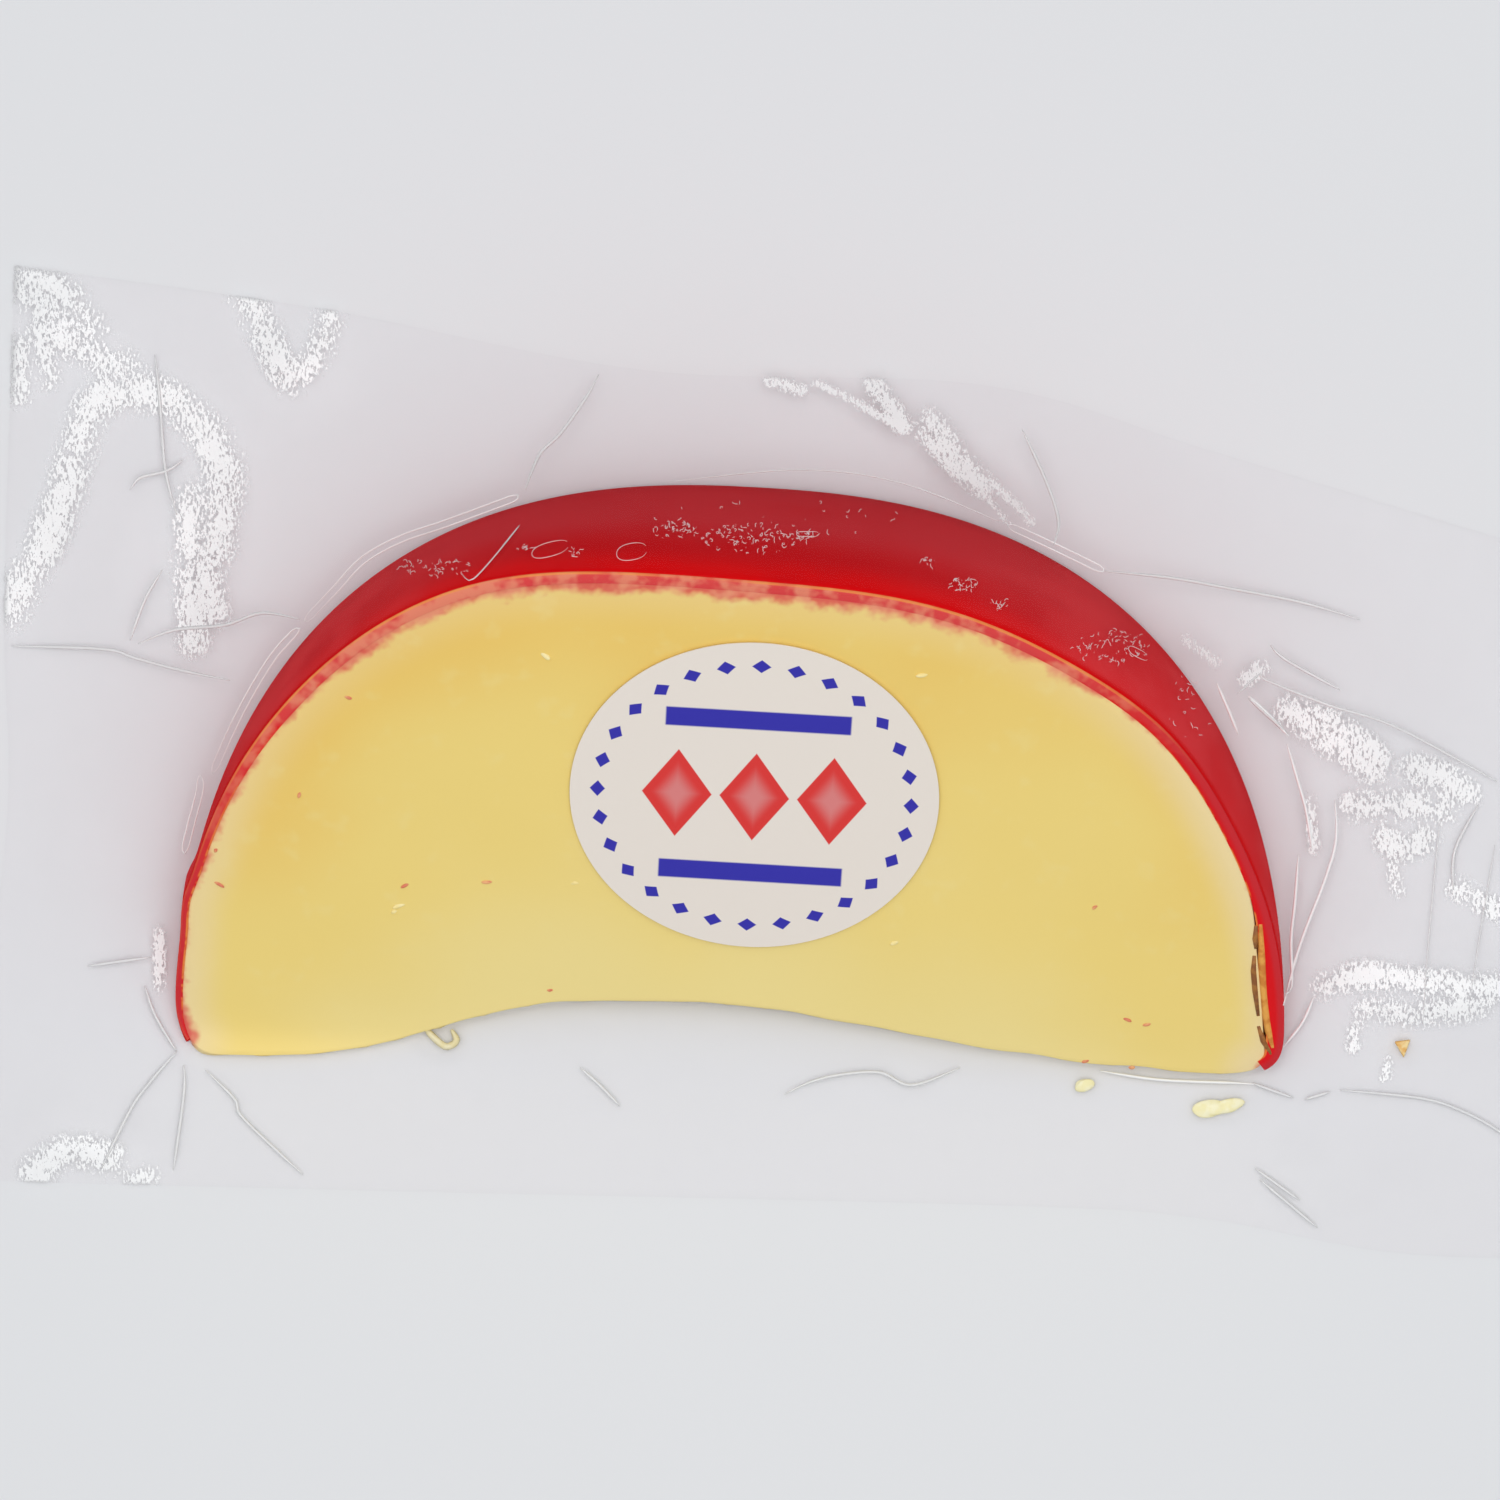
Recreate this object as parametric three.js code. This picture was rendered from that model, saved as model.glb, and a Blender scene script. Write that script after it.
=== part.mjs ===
// A wedge of red-waxed ball cheese, vacuum packed in a clear pouch, with a round label.
// The wedge is one segment of the ball. It lies on one cut face, and the other cut face is up.
// Units are millimetres. The pouch's length is along X, its width along Y, and +Z is up.
// The origin is the middle of the pouch's footprint, on the table.
import * as THREE from "three";

// The ball that the wedge was cut from: a squarish ball of revolution about its own axis.
const BALL_RADIUS = 73.5;
const BALL_HALF_LENGTH = 69.25;
const BALL_SQUARENESS = 2.45;
const WEDGE_ANGLE = THREE.MathUtils.degToRad(34.4);

// Where the ball's axis lies in the pouch: the thin edge of the wedge is beside it.
const AXIS_MIDDLE = new THREE.Vector2(-12.0, -39.1);
const AXIS_TURN = THREE.MathUtils.degToRad(-3.3);

// The thin edge isn't quite along the axis, and its middle is hollowed out.
const EDGE_LEFT = { s: -67.1, u: -1.6 };
const EDGE_RIGHT = { s: 65.9, u: 3.4 };
const HOLLOW = { s: -10.2, depth: 8.1, left: 29.4, leftPower: 3, right: 42.5, rightPower: 2.2 };
const EDGE_CORNER_RISE = 4.5;
const THIN_EDGE_LEAST = 1.2;
const THIN_EDGE_BLEND = 1.2;

// How far the upper rim stands out from the true ball, at three places along the axis.
const RIM_SHIFTS = [
  { s: -37, reach: 22, shift: 3.0 },
  { s: 42, reach: 14, shift: -1.4 },
  { s: 63, reach: 9, shift: -3.0 },
];

// The film clings to the wedge, and its two webs meet in the margin round it.
const FILM_STANDS_OFF = 0.3;
const MARGIN_THICKNESS = 0.5;
const ROOT_HEIGHT_SHARE = 0.33;
const ROOT_LEAST = 0.9;
const FILLET_SHARE = 0.3;
const FILLET_REACH = 2.2;
const DROOP_REACH = 12.5;
const DROOP_POWER = 1.5;

// The wedge's edges are rounded, less so where it is thin.
const RIM_ROUNDING = 1.5;
const RIM_ROUNDING_SHARE = 0.3;
const FOOT_ROUNDING = 0.7;
const FOOT_RISE = 0.3;
const RIM_POINT = { inset: 0.3, drop: 0.22 };

// The pouch's four edges, each a smooth line through a few points.
const TOP_EDGE = [[-101, 62], [-62, 56.5], [-22, 48.8], [20, 47], [48, 39], [84.5, 28], [104, 22.5]];
const RIGHT_EDGE = [[104, 22.5], [101.2, -15], [97.5, -62]];
const BOTTOM_EDGE = [[97.5, -62], [72, -61.4], [47, -57], [22, -55.4], [-59, -53.5], [-103.5, -52.3]];
const LEFT_EDGE = [[-103.5, -52.3], [-104, -30], [-101.8, -4], [-102.3, 20], [-101, 62]];

// Broad swells of the margin, where the film doesn't lie flat on the table.
const SWELLS = [
  { x: -87, y: 27, alongX: 8, alongY: 13, height: 2.6 },
  { x: -96, y: 55, alongX: 7, alongY: 5, height: 1.4 },
  { x: -66, y: 50, alongX: 7, alongY: 5, height: 1.2 },
  { x: -90, y: -12, alongX: 9, alongY: 12, height: 0.9 },
  { x: -93, y: -47, alongX: 9, alongY: 7, height: 1.8 },
  { x: 14, y: 42, alongX: 16, alongY: 6, height: 1.6 },
  { x: 66, y: 3, alongX: 9, alongY: 8, height: 2.4 },
  { x: 78, y: -29, alongX: 14, alongY: 6, height: 2.2 },
  { x: 64, y: -50, alongX: 8, alongY: 6, height: 1.2 },
  { x: 98, y: -18, alongX: 9, alongY: 20, height: 1.6 },
];

// The round label on the upper cut face.
const LABEL_RADIUS = 22.5;
const LABEL_THICKNESS = 0.3;
const LABEL_GAP = 0.3;
const LABEL_CENTRE = new THREE.Vector2(-8.6, -4.1);

// How finely the pouch is divided. Its rings are drawn round the middle of the cut face.
const RING_MIDDLE = { s: 0, u: 26 };
const STEPS_AROUND = 128;
const OUTLINE_STEPS = 300;
const EDGE_STEPS = 60;
const FACE_RINGS = [0.12, 0.4, 0.66, 0.85, 0.95];
const SIDE_STEPS = 5;
const MARGIN_STEPS = [0.035, 0.09, 0.17, 0.27, 0.39, 0.53, 0.69, 0.85, 1];
const WALL_STEPS = 2;
const BASE_RINGS = [0.8, 0.35];

const ALONG = new THREE.Vector2(Math.cos(AXIS_TURN), Math.sin(AXIS_TURN));
const ACROSS = new THREE.Vector2(-Math.sin(AXIS_TURN), Math.cos(AXIS_TURN));

function inPack(s, u) {
  return AXIS_MIDDLE.clone().addScaledVector(ALONG, s).addScaledVector(ACROSS, u);
}

function ballRadiusAt(s) {
  const share = Math.min(1, Math.abs(s) / BALL_HALF_LENGTH);
  return BALL_RADIUS * (1 - share ** BALL_SQUARENESS) ** (1 / BALL_SQUARENESS);
}

function rimShiftAt(s) {
  return RIM_SHIFTS.reduce((sum, r) => sum + r.shift * Math.exp(-(((s - r.s) / r.reach) ** 2)), 0);
}

function thinEdgeAt(s) {
  const share = (s - EDGE_LEFT.s) / (EDGE_RIGHT.s - EDGE_LEFT.s);
  const straight = THREE.MathUtils.lerp(EDGE_LEFT.u, EDGE_RIGHT.u, share);
  const away = Math.abs(s - HOLLOW.s);
  const [reach, power] = s < HOLLOW.s ? [HOLLOW.left, HOLLOW.leftPower] : [HOLLOW.right, HOLLOW.rightPower];
  return straight + HOLLOW.depth * Math.exp(-((away / reach) ** power));
}

// Height of the upper cut face: a plane through the axis that flattens out above the thin edge.
function faceHeight(u) {
  const plane = Math.tan(WEDGE_ANGLE) * u;
  return (plane + THIN_EDGE_LEAST + Math.hypot(plane - THIN_EDGE_LEAST, THIN_EDGE_BLEND)) / 2;
}

// Evenly spaced points along a closed line of [x, y] or [x, y, flag] points.
function spaceEvenly(line, count) {
  const closed = [...line, line[0]];
  const lengths = [0];
  for (let i = 1; i < closed.length; i++) {
    const [dx, dy] = [closed[i][0] - closed[i - 1][0], closed[i][1] - closed[i - 1][1]];
    lengths.push(lengths[i - 1] + Math.hypot(dx, dy));
  }
  const total = lengths.at(-1);
  let at = 1;
  return Array.from({ length: count }, (_, k) => {
    const wanted = (total * k) / count;
    while (lengths[at] < wanted) at++;
    const share = (wanted - lengths[at - 1]) / (lengths[at] - lengths[at - 1]);
    return closed[at].map((value, i) => THREE.MathUtils.lerp(closed[at - 1][i], value, share));
  });
}

// A ring with each point moved towards its two neighbours, which rounds its corners.
function smoothRing(ring) {
  const n = ring.length;
  return ring.map((p, k) => p.map((v, i) => (ring[(k + n - 1) % n][i] + 2 * v + ring[(k + 1) % n][i]) / 4));
}

// The wedge's outline on the table as [s, u, share of ball side], counter-clockwise from the right end.
function wedgeOutline() {
  const line = [];
  for (let i = 0; i <= OUTLINE_STEPS; i++) {
    const turn = (Math.PI * i) / OUTLINE_STEPS;
    const share = Math.abs(Math.cos(turn)) ** (2 / BALL_SQUARENESS);
    const s = BALL_HALF_LENGTH * Math.sign(Math.cos(turn)) * share;
    const u = ballRadiusAt(s);
    const edge = s < 0 ? EDGE_LEFT.u : EDGE_RIGHT.u;
    if (u > edge + EDGE_CORNER_RISE) line.push([s, u, 1]);
  }
  for (let i = 0; i <= OUTLINE_STEPS; i++) {
    const s = THREE.MathUtils.lerp(EDGE_LEFT.s, EDGE_RIGHT.s, i / OUTLINE_STEPS);
    line.push([s, thinEdgeAt(s), 0]);
  }
  return smoothRing(spaceEvenly(line, STEPS_AROUND));
}

// A pouch edge line as many [x, y] points.
function drawEdge(points) {
  const curve = new THREE.SplineCurve(points.map(([x, y]) => new THREE.Vector2(x, y)));
  return curve.getPoints(EDGE_STEPS).slice(0, -1).map((p) => [p.x, p.y]);
}

// Where rays from the middle of the wedge, through each point of its outline, meet the pouch's edge.
function pouchOutline(middle, ring) {
  const turnOf = (x, y) => Math.atan2(y - middle.y, x - middle.x);
  const corners = [TOP_EDGE[0], RIGHT_EDGE[0], BOTTOM_EDGE[0], LEFT_EDGE[0]];
  const line = [TOP_EDGE, RIGHT_EDGE, BOTTOM_EDGE, LEFT_EDGE].flatMap(drawEdge);
  const sorted = line.map(([x, y]) => ({ turn: turnOf(x, y), x, y })).sort((a, b) => a.turn - b.turn);
  const oneTurn = 2 * Math.PI;
  const before = { ...sorted.at(-1), turn: sorted.at(-1).turn - oneTurn };
  const beyond = { ...sorted[0], turn: sorted[0].turn + oneTurn };
  const all = [before, ...sorted, beyond];
  const turns = ring.map(([x, y]) => turnOf(x, y));
  const met = turns.map((turn) => {
    const after = all.findIndex((p) => p.turn >= turn);
    const [a, b] = [all[after - 1], all[after]];
    const share = (turn - a.turn) / (b.turn - a.turn);
    return [THREE.MathUtils.lerp(a.x, b.x, share), THREE.MathUtils.lerp(a.y, b.y, share)];
  });
  // The ray that passes nearest each corner is bent to it, so that the corner stays sharp.
  for (const corner of corners) {
    const cornerTurn = turnOf(...corner);
    const apart = turns.map((turn) => 1 - Math.cos(turn - cornerTurn));
    met[apart.indexOf(Math.min(...apart))] = corner;
  }
  return met;
}

function swellAt(x, y) {
  return SWELLS.reduce(
    (sum, w) => sum + w.height * Math.exp(-(((x - w.x) / w.alongX) ** 2) - ((y - w.y) / w.alongY) ** 2),
    0,
  );
}

// Distance from a point to the wedge's root ring, and the root's height at the nearest place.
function nearestRoot(x, y, roots) {
  let best = { distance: Infinity, height: 0 };
  roots.forEach((a, k) => {
    const b = roots[(k + 1) % roots.length];
    const [dx, dy] = [b.x - a.x, b.y - a.y];
    const share = THREE.MathUtils.clamp(((x - a.x) * dx + (y - a.y) * dy) / (dx * dx + dy * dy), 0, 1);
    const distance = Math.hypot(x - a.x - share * dx, y - a.y - share * dy);
    if (distance < best.distance) best = { distance, height: THREE.MathUtils.lerp(a.z, b.z, share) };
  });
  return best;
}

// Height of the margin's upper side: it drops from the wedge in a small fillet, then droops to the table.
function marginHeight(x, y, roots) {
  const { distance, height } = nearestRoot(x, y, roots);
  const drop = height - MARGIN_THICKNESS;
  const fillet = FILLET_SHARE * Math.exp(-distance / FILLET_REACH);
  const droop = (1 - FILLET_SHARE) * Math.exp(-((distance / DROOP_REACH) ** DROOP_POWER));
  const free = 1 - Math.exp(-((distance / DROOP_REACH) ** 2));
  return MARGIN_THICKNESS + drop * (fillet + droop) + free * swellAt(x, y);
}

// A closed body through a list of rings, from the middle of its top, out and round to the middle of its base.
function loft(rings, topMiddle, baseMiddle) {
  const around = rings[0].length;
  const positions = [topMiddle, ...rings.flat(), baseMiddle].flatMap((p) => [p.x, p.y, p.z]);
  const index = [];
  const at = (ring, k) => 1 + ring * around + (k % around);
  for (let k = 0; k < around; k++) {
    index.push(0, at(0, k), at(0, k + 1));
    for (let ring = 0; ring + 1 < rings.length; ring++) {
      index.push(at(ring, k), at(ring + 1, k), at(ring + 1, k + 1));
      index.push(at(ring, k), at(ring + 1, k + 1), at(ring, k + 1));
    }
    index.push(at(rings.length - 1, k), 1 + rings.length * around, at(rings.length - 1, k + 1));
  }
  const geometry = new THREE.BufferGeometry();
  geometry.setAttribute("position", new THREE.Float32BufferAttribute(positions, 3));
  geometry.setIndex(index);
  geometry.computeVertexNormals();
  return geometry;
}

function middleOf(ring) {
  const sum = ring.reduce((total, p) => total.add(p), new THREE.Vector3());
  return sum.divideScalar(ring.length);
}

function pouchGeometry() {
  const outline = wedgeOutline();
  // The foot is the ring on the table, and the crest is the ring of the upper rim above it.
  const foot = outline.map(([s, u]) => [s, u]);
  const crest = smoothRing(
    outline.map(([s, u, ballSide]) => {
      const rolled = (u + rimShiftAt(s)) * Math.cos(WEDGE_ANGLE);
      return [s, THREE.MathUtils.lerp(u, rolled, ballSide)];
    }),
  );
  const outwards = foot.map((_, k) => {
    const n = foot.length;
    const [a, b] = [foot[(k + n - 1) % n], foot[(k + 1) % n]];
    return new THREE.Vector2(b[1] - a[1], a[0] - b[0]).normalize();
  });
  // One point of the wedge's side, at a share of the way up from the foot to the crest.
  const side = (k, share) => {
    const top = faceHeight(crest[k][1]) + FILM_STANDS_OFF;
    const turn = share * WEDGE_ANGLE;
    const inward = (1 - Math.cos(turn)) / (1 - Math.cos(WEDGE_ANGLE));
    const s = THREE.MathUtils.lerp(foot[k][0], crest[k][0], inward) + FILM_STANDS_OFF * outwards[k].x;
    const u = THREE.MathUtils.lerp(foot[k][1], crest[k][1], inward) + FILM_STANDS_OFF * outwards[k].y;
    const p = inPack(s, u);
    return new THREE.Vector3(p.x, p.y, (top * Math.sin(turn)) / Math.sin(WEDGE_ANGLE));
  };
  const shareAtHeight = (k, z) => {
    const top = faceHeight(crest[k][1]) + FILM_STANDS_OFF;
    return Math.asin(Math.min(1, z / top) * Math.sin(WEDGE_ANGLE)) / WEDGE_ANGLE;
  };
  const onFace = (s, u) => {
    const p = inPack(s, u);
    return new THREE.Vector3(p.x, p.y, faceHeight(u) + FILM_STANDS_OFF);
  };
  const everyStep = (make) => Array.from({ length: STEPS_AROUND }, (_, k) => make(k));

  // The upper cut face, in rings that shrink towards its middle.
  const towardsMiddle = ([s, u], scale, inset) => {
    const reach = Math.hypot(s - RING_MIDDLE.s, u - RING_MIDDLE.u);
    const share = scale * (1 - inset / reach);
    return [RING_MIDDLE.s + share * (s - RING_MIDDLE.s), RING_MIDDLE.u + share * (u - RING_MIDDLE.u)];
  };
  const rounding = (k) => Math.min(RIM_ROUNDING, RIM_ROUNDING_SHARE * faceHeight(crest[k][1]));
  const facePoint = (k, scale, inset) => onFace(...towardsMiddle(crest[k], scale, inset));
  const faceRings = FACE_RINGS.map((scale) => everyStep((k) => facePoint(k, scale, 0)));
  const faceEdge = everyStep((k) => facePoint(k, 1, rounding(k)));
  const rim = everyStep((k) => {
    const shoulder = side(k, 1);
    const inside = facePoint(k, 1, RIM_POINT.inset * rounding(k));
    const z = inside.z - RIM_POINT.drop * rounding(k);
    return new THREE.Vector3((shoulder.x + inside.x) / 2, (shoulder.y + inside.y) / 2, z);
  });

  // The wedge's side, from just under the rim down to the root of the margin.
  const rootHeight = (k) => Math.max(ROOT_LEAST, ROOT_HEIGHT_SHARE * faceHeight(crest[k][1]));
  const rootShare = everyStep((k) => shareAtHeight(k, rootHeight(k)));
  const shoulderHeight = (k) => faceHeight(crest[k][1]) + FILM_STANDS_OFF - rounding(k);
  const shoulderShare = everyStep((k) => shareAtHeight(k, shoulderHeight(k)));
  const sideRings = [];
  for (let i = 0; i <= SIDE_STEPS; i++) {
    const shareAt = (k) => THREE.MathUtils.lerp(shoulderShare[k], rootShare[k], i / SIDE_STEPS);
    sideRings.push(everyStep((k) => side(k, shareAt(k))));
  }
  const roots = sideRings.at(-1);

  // The margin, out to the pouch's edge and back underneath.
  const middle = inPack(RING_MIDDLE.s, RING_MIDDLE.u);
  const edge = pouchOutline(middle, roots.map((p) => [p.x, p.y]));
  const marginRings = MARGIN_STEPS.map((share) =>
    everyStep((k) => {
      const x = THREE.MathUtils.lerp(roots[k].x, edge[k][0], share);
      const y = THREE.MathUtils.lerp(roots[k].y, edge[k][1], share);
      return new THREE.Vector3(x, y, marginHeight(x, y, roots));
    }),
  );
  const below = (ring) => ring.map((p) => new THREE.Vector3(p.x, p.y, Math.max(0, p.z - MARGIN_THICKNESS)));
  const underRings = [...marginRings].reverse().map(below);

  // Under the margin the lower web goes down the wedge's side to its foot and across its base.
  const underRoot = everyStep((k) => side(k, shareAtHeight(k, rootHeight(k) - MARGIN_THICKNESS)));
  const wallRings = [];
  for (let i = 1; i <= WALL_STEPS; i++) {
    wallRings.push(
      everyStep((k) => {
        const z = THREE.MathUtils.lerp(rootHeight(k) - MARGIN_THICKNESS, FOOT_RISE, i / WALL_STEPS);
        return side(k, shareAtHeight(k, z));
      }),
    );
  }
  const baseRing = (scale, inset) =>
    everyStep((k) => {
      const p = inPack(...towardsMiddle(foot[k], scale, inset));
      return new THREE.Vector3(p.x, p.y, 0);
    });
  const baseRings = [baseRing(1, FOOT_ROUNDING), ...BASE_RINGS.map((scale) => baseRing(scale, 0))];

  const upperRings = [...faceRings, faceEdge, rim, ...sideRings, ...marginRings];
  const lowerRings = [...underRings, underRoot, ...wallRings, ...baseRings];
  return loft([...upperRings, ...lowerRings], middleOf(faceRings[0]), middleOf(baseRings.at(-1)));
}

function makePouch() {
  const film = new THREE.MeshStandardMaterial({ color: 0xd9502f, roughness: 0.15, metalness: 0 });
  const mesh = new THREE.Mesh(pouchGeometry(), film);
  mesh.name = "vacuum_pouch";
  return mesh;
}

// The label lies on the film over the upper cut face, in a group that is tilted as the face is.
function makeLabel() {
  const paper = new THREE.MeshStandardMaterial({ color: 0xe4dcd2, roughness: 0.75, metalness: 0 });
  const disc = new THREE.CylinderGeometry(LABEL_RADIUS, LABEL_RADIUS, LABEL_THICKNESS, 72);
  disc.rotateX(Math.PI / 2);
  disc.translate(0, 0, LABEL_GAP + LABEL_THICKNESS / 2);
  const mesh = new THREE.Mesh(disc, paper);
  mesh.name = "label";

  const along = new THREE.Vector3(ALONG.x, ALONG.y, 0);
  const rise = new THREE.Vector3(ACROSS.x, ACROSS.y, Math.tan(WEDGE_ANGLE)).normalize();
  const tilted = new THREE.Group();
  tilted.quaternion.setFromRotationMatrix(
    new THREE.Matrix4().makeBasis(along, rise, new THREE.Vector3().crossVectors(along, rise)),
  );
  const u = LABEL_CENTRE.clone().sub(AXIS_MIDDLE).dot(ACROSS);
  tilted.position.set(LABEL_CENTRE.x, LABEL_CENTRE.y, faceHeight(u) + FILM_STANDS_OFF);
  tilted.add(mesh);
  return tilted;
}

const pack = new THREE.Group();
pack.add(makePouch(), makeLabel());

export default pack;
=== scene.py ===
"""A wedge of red-waxed ball cheese, vacuum packed in a clear pouch with a round label on it."""

import math

import bmesh
import bpy
import mathutils
import numpy as np
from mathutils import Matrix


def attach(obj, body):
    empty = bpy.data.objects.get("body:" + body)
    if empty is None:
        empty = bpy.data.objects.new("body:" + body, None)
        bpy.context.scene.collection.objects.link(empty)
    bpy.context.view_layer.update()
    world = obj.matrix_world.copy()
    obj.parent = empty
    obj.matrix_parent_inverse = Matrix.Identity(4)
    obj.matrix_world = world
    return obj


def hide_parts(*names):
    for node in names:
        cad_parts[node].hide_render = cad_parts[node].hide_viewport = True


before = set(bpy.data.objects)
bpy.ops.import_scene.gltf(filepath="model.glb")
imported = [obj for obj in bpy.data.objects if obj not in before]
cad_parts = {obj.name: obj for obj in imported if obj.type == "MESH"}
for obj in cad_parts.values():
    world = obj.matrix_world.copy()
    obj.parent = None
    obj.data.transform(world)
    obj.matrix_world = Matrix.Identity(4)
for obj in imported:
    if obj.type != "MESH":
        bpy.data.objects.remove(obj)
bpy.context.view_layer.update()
bpy.ops.object.select_all(action="DESELECT")

# Cheese paste
# One segment of a ball of pale yellow cheese, cut twice through the ball's axis. It lies on one cut
# face. Its thin edge runs beside the axis, and is hollowed out where the core came away.
MM = 0.001
BALL_RADIUS = 73.5
BALL_HALF_LENGTH = 69.25
BALL_SQUARENESS = 2.45
WEDGE_ANGLE = math.radians(34.4)
AXIS_TURN = math.radians(-3.3)
AXIS_MIDDLE = np.array([-12.0, -39.1])
ALONG = np.array([math.cos(AXIS_TURN), math.sin(AXIS_TURN)])
ACROSS = np.array([-math.sin(AXIS_TURN), math.cos(AXIS_TURN)])
EDGE_LEFT = (-67.1, -1.6)
EDGE_RIGHT = (65.9, 3.4)
EDGE_CORNER_RISE = 4.5
HOLLOW_MIDDLE, HOLLOW_DEPTH = -10.2, 8.1
THIN_EDGE_LEAST, THIN_EDGE_BLEND = 1.2, 1.2
RIM_SHIFTS = ((-37, 22, 3.0), (42, 14, -1.4), (63, 9, -3.0))
KINK_PLACE, KINK_REACH, KINK_HEIGHT = (-69.0, 21.5), 2.2, 1.0
RING_MIDDLE = np.array([0.0, 26.0])
WAX_THICKNESS = 1.5
WEDGE_STEPS = 384
ROUNDED_AT_MOST = 0.3


def name_piece(name):
    """Names the piece that was made last, and its mesh."""
    piece = bpy.context.object
    piece.name = name
    piece.data.name = name
    return piece


def edit_whole():
    """Turns to edit mode with all of the active piece selected."""
    bpy.ops.object.mode_set(mode="EDIT")
    bpy.ops.mesh.select_all(action="SELECT")


def in_pack(along, across, height):
    """Points in the pack from their places along and across the ball's axis, in millimetres."""
    flat = AXIS_MIDDLE + np.outer(along, ALONG) + np.outer(across, ACROSS)
    return np.column_stack([flat, np.broadcast_to(height, len(flat))])


def thin_edge_at(along):
    share = (along - EDGE_LEFT[0]) / (EDGE_RIGHT[0] - EDGE_LEFT[0])
    straight = EDGE_LEFT[1] + (EDGE_RIGHT[1] - EDGE_LEFT[1]) * share
    away = np.abs(along - HOLLOW_MIDDLE)
    left = np.exp(-((away / 29.4) ** 3))
    right = np.exp(-((away / 42.5) ** 2.2))
    return straight + HOLLOW_DEPTH * np.where(along < HOLLOW_MIDDLE, left, right)


def face_height(across):
    """Height of the upper cut face, which flattens out above the thin edge."""
    plane = math.tan(WEDGE_ANGLE) * across
    return (plane + THIN_EDGE_LEAST + np.hypot(plane - THIN_EDGE_LEAST, THIN_EDGE_BLEND)) / 2


def smooth_ring(ring, passes):
    """A closed ring with each point moved towards its neighbours, which rounds its corners."""
    for _ in range(passes):
        ring = (np.roll(ring, 1, axis=0) + 2 * ring + np.roll(ring, -1, axis=0)) / 4
    return ring


def lengths_along(line):
    """The distance from a line's start to each of its flat points."""
    return np.concatenate([[0], np.cumsum(np.hypot(*np.diff(line, axis=0).T))])


def wedge_outline(steps):
    """The wedge's foot as rows of along, across and share of ball side, evenly spaced."""
    turn = np.linspace(0, math.pi, 301)
    cosine = np.cos(turn)
    along = BALL_HALF_LENGTH * np.sign(cosine) * np.abs(cosine) ** (2 / BALL_SQUARENESS)
    inside = 1 - (np.abs(along) / BALL_HALF_LENGTH) ** BALL_SQUARENESS
    across = BALL_RADIUS * np.clip(inside, 0, 1) ** (1 / BALL_SQUARENESS)
    edge = np.where(along < 0, EDGE_LEFT[1], EDGE_RIGHT[1])
    ball = np.column_stack([along, across, np.ones(301)])[across > edge + EDGE_CORNER_RISE]
    thin = np.linspace(EDGE_LEFT[0], EDGE_RIGHT[0], 301)
    line = np.vstack([ball, np.column_stack([thin, thin_edge_at(thin), np.zeros(301)]), ball[:1]])
    lengths = lengths_along(line[:, :2])
    wanted = np.linspace(0, lengths[-1], steps, endpoint=False)
    spaced = np.column_stack([np.interp(wanted, lengths, line[:, i]) for i in range(3)])
    return smooth_ring(spaced, (steps // 128) ** 2)


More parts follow.
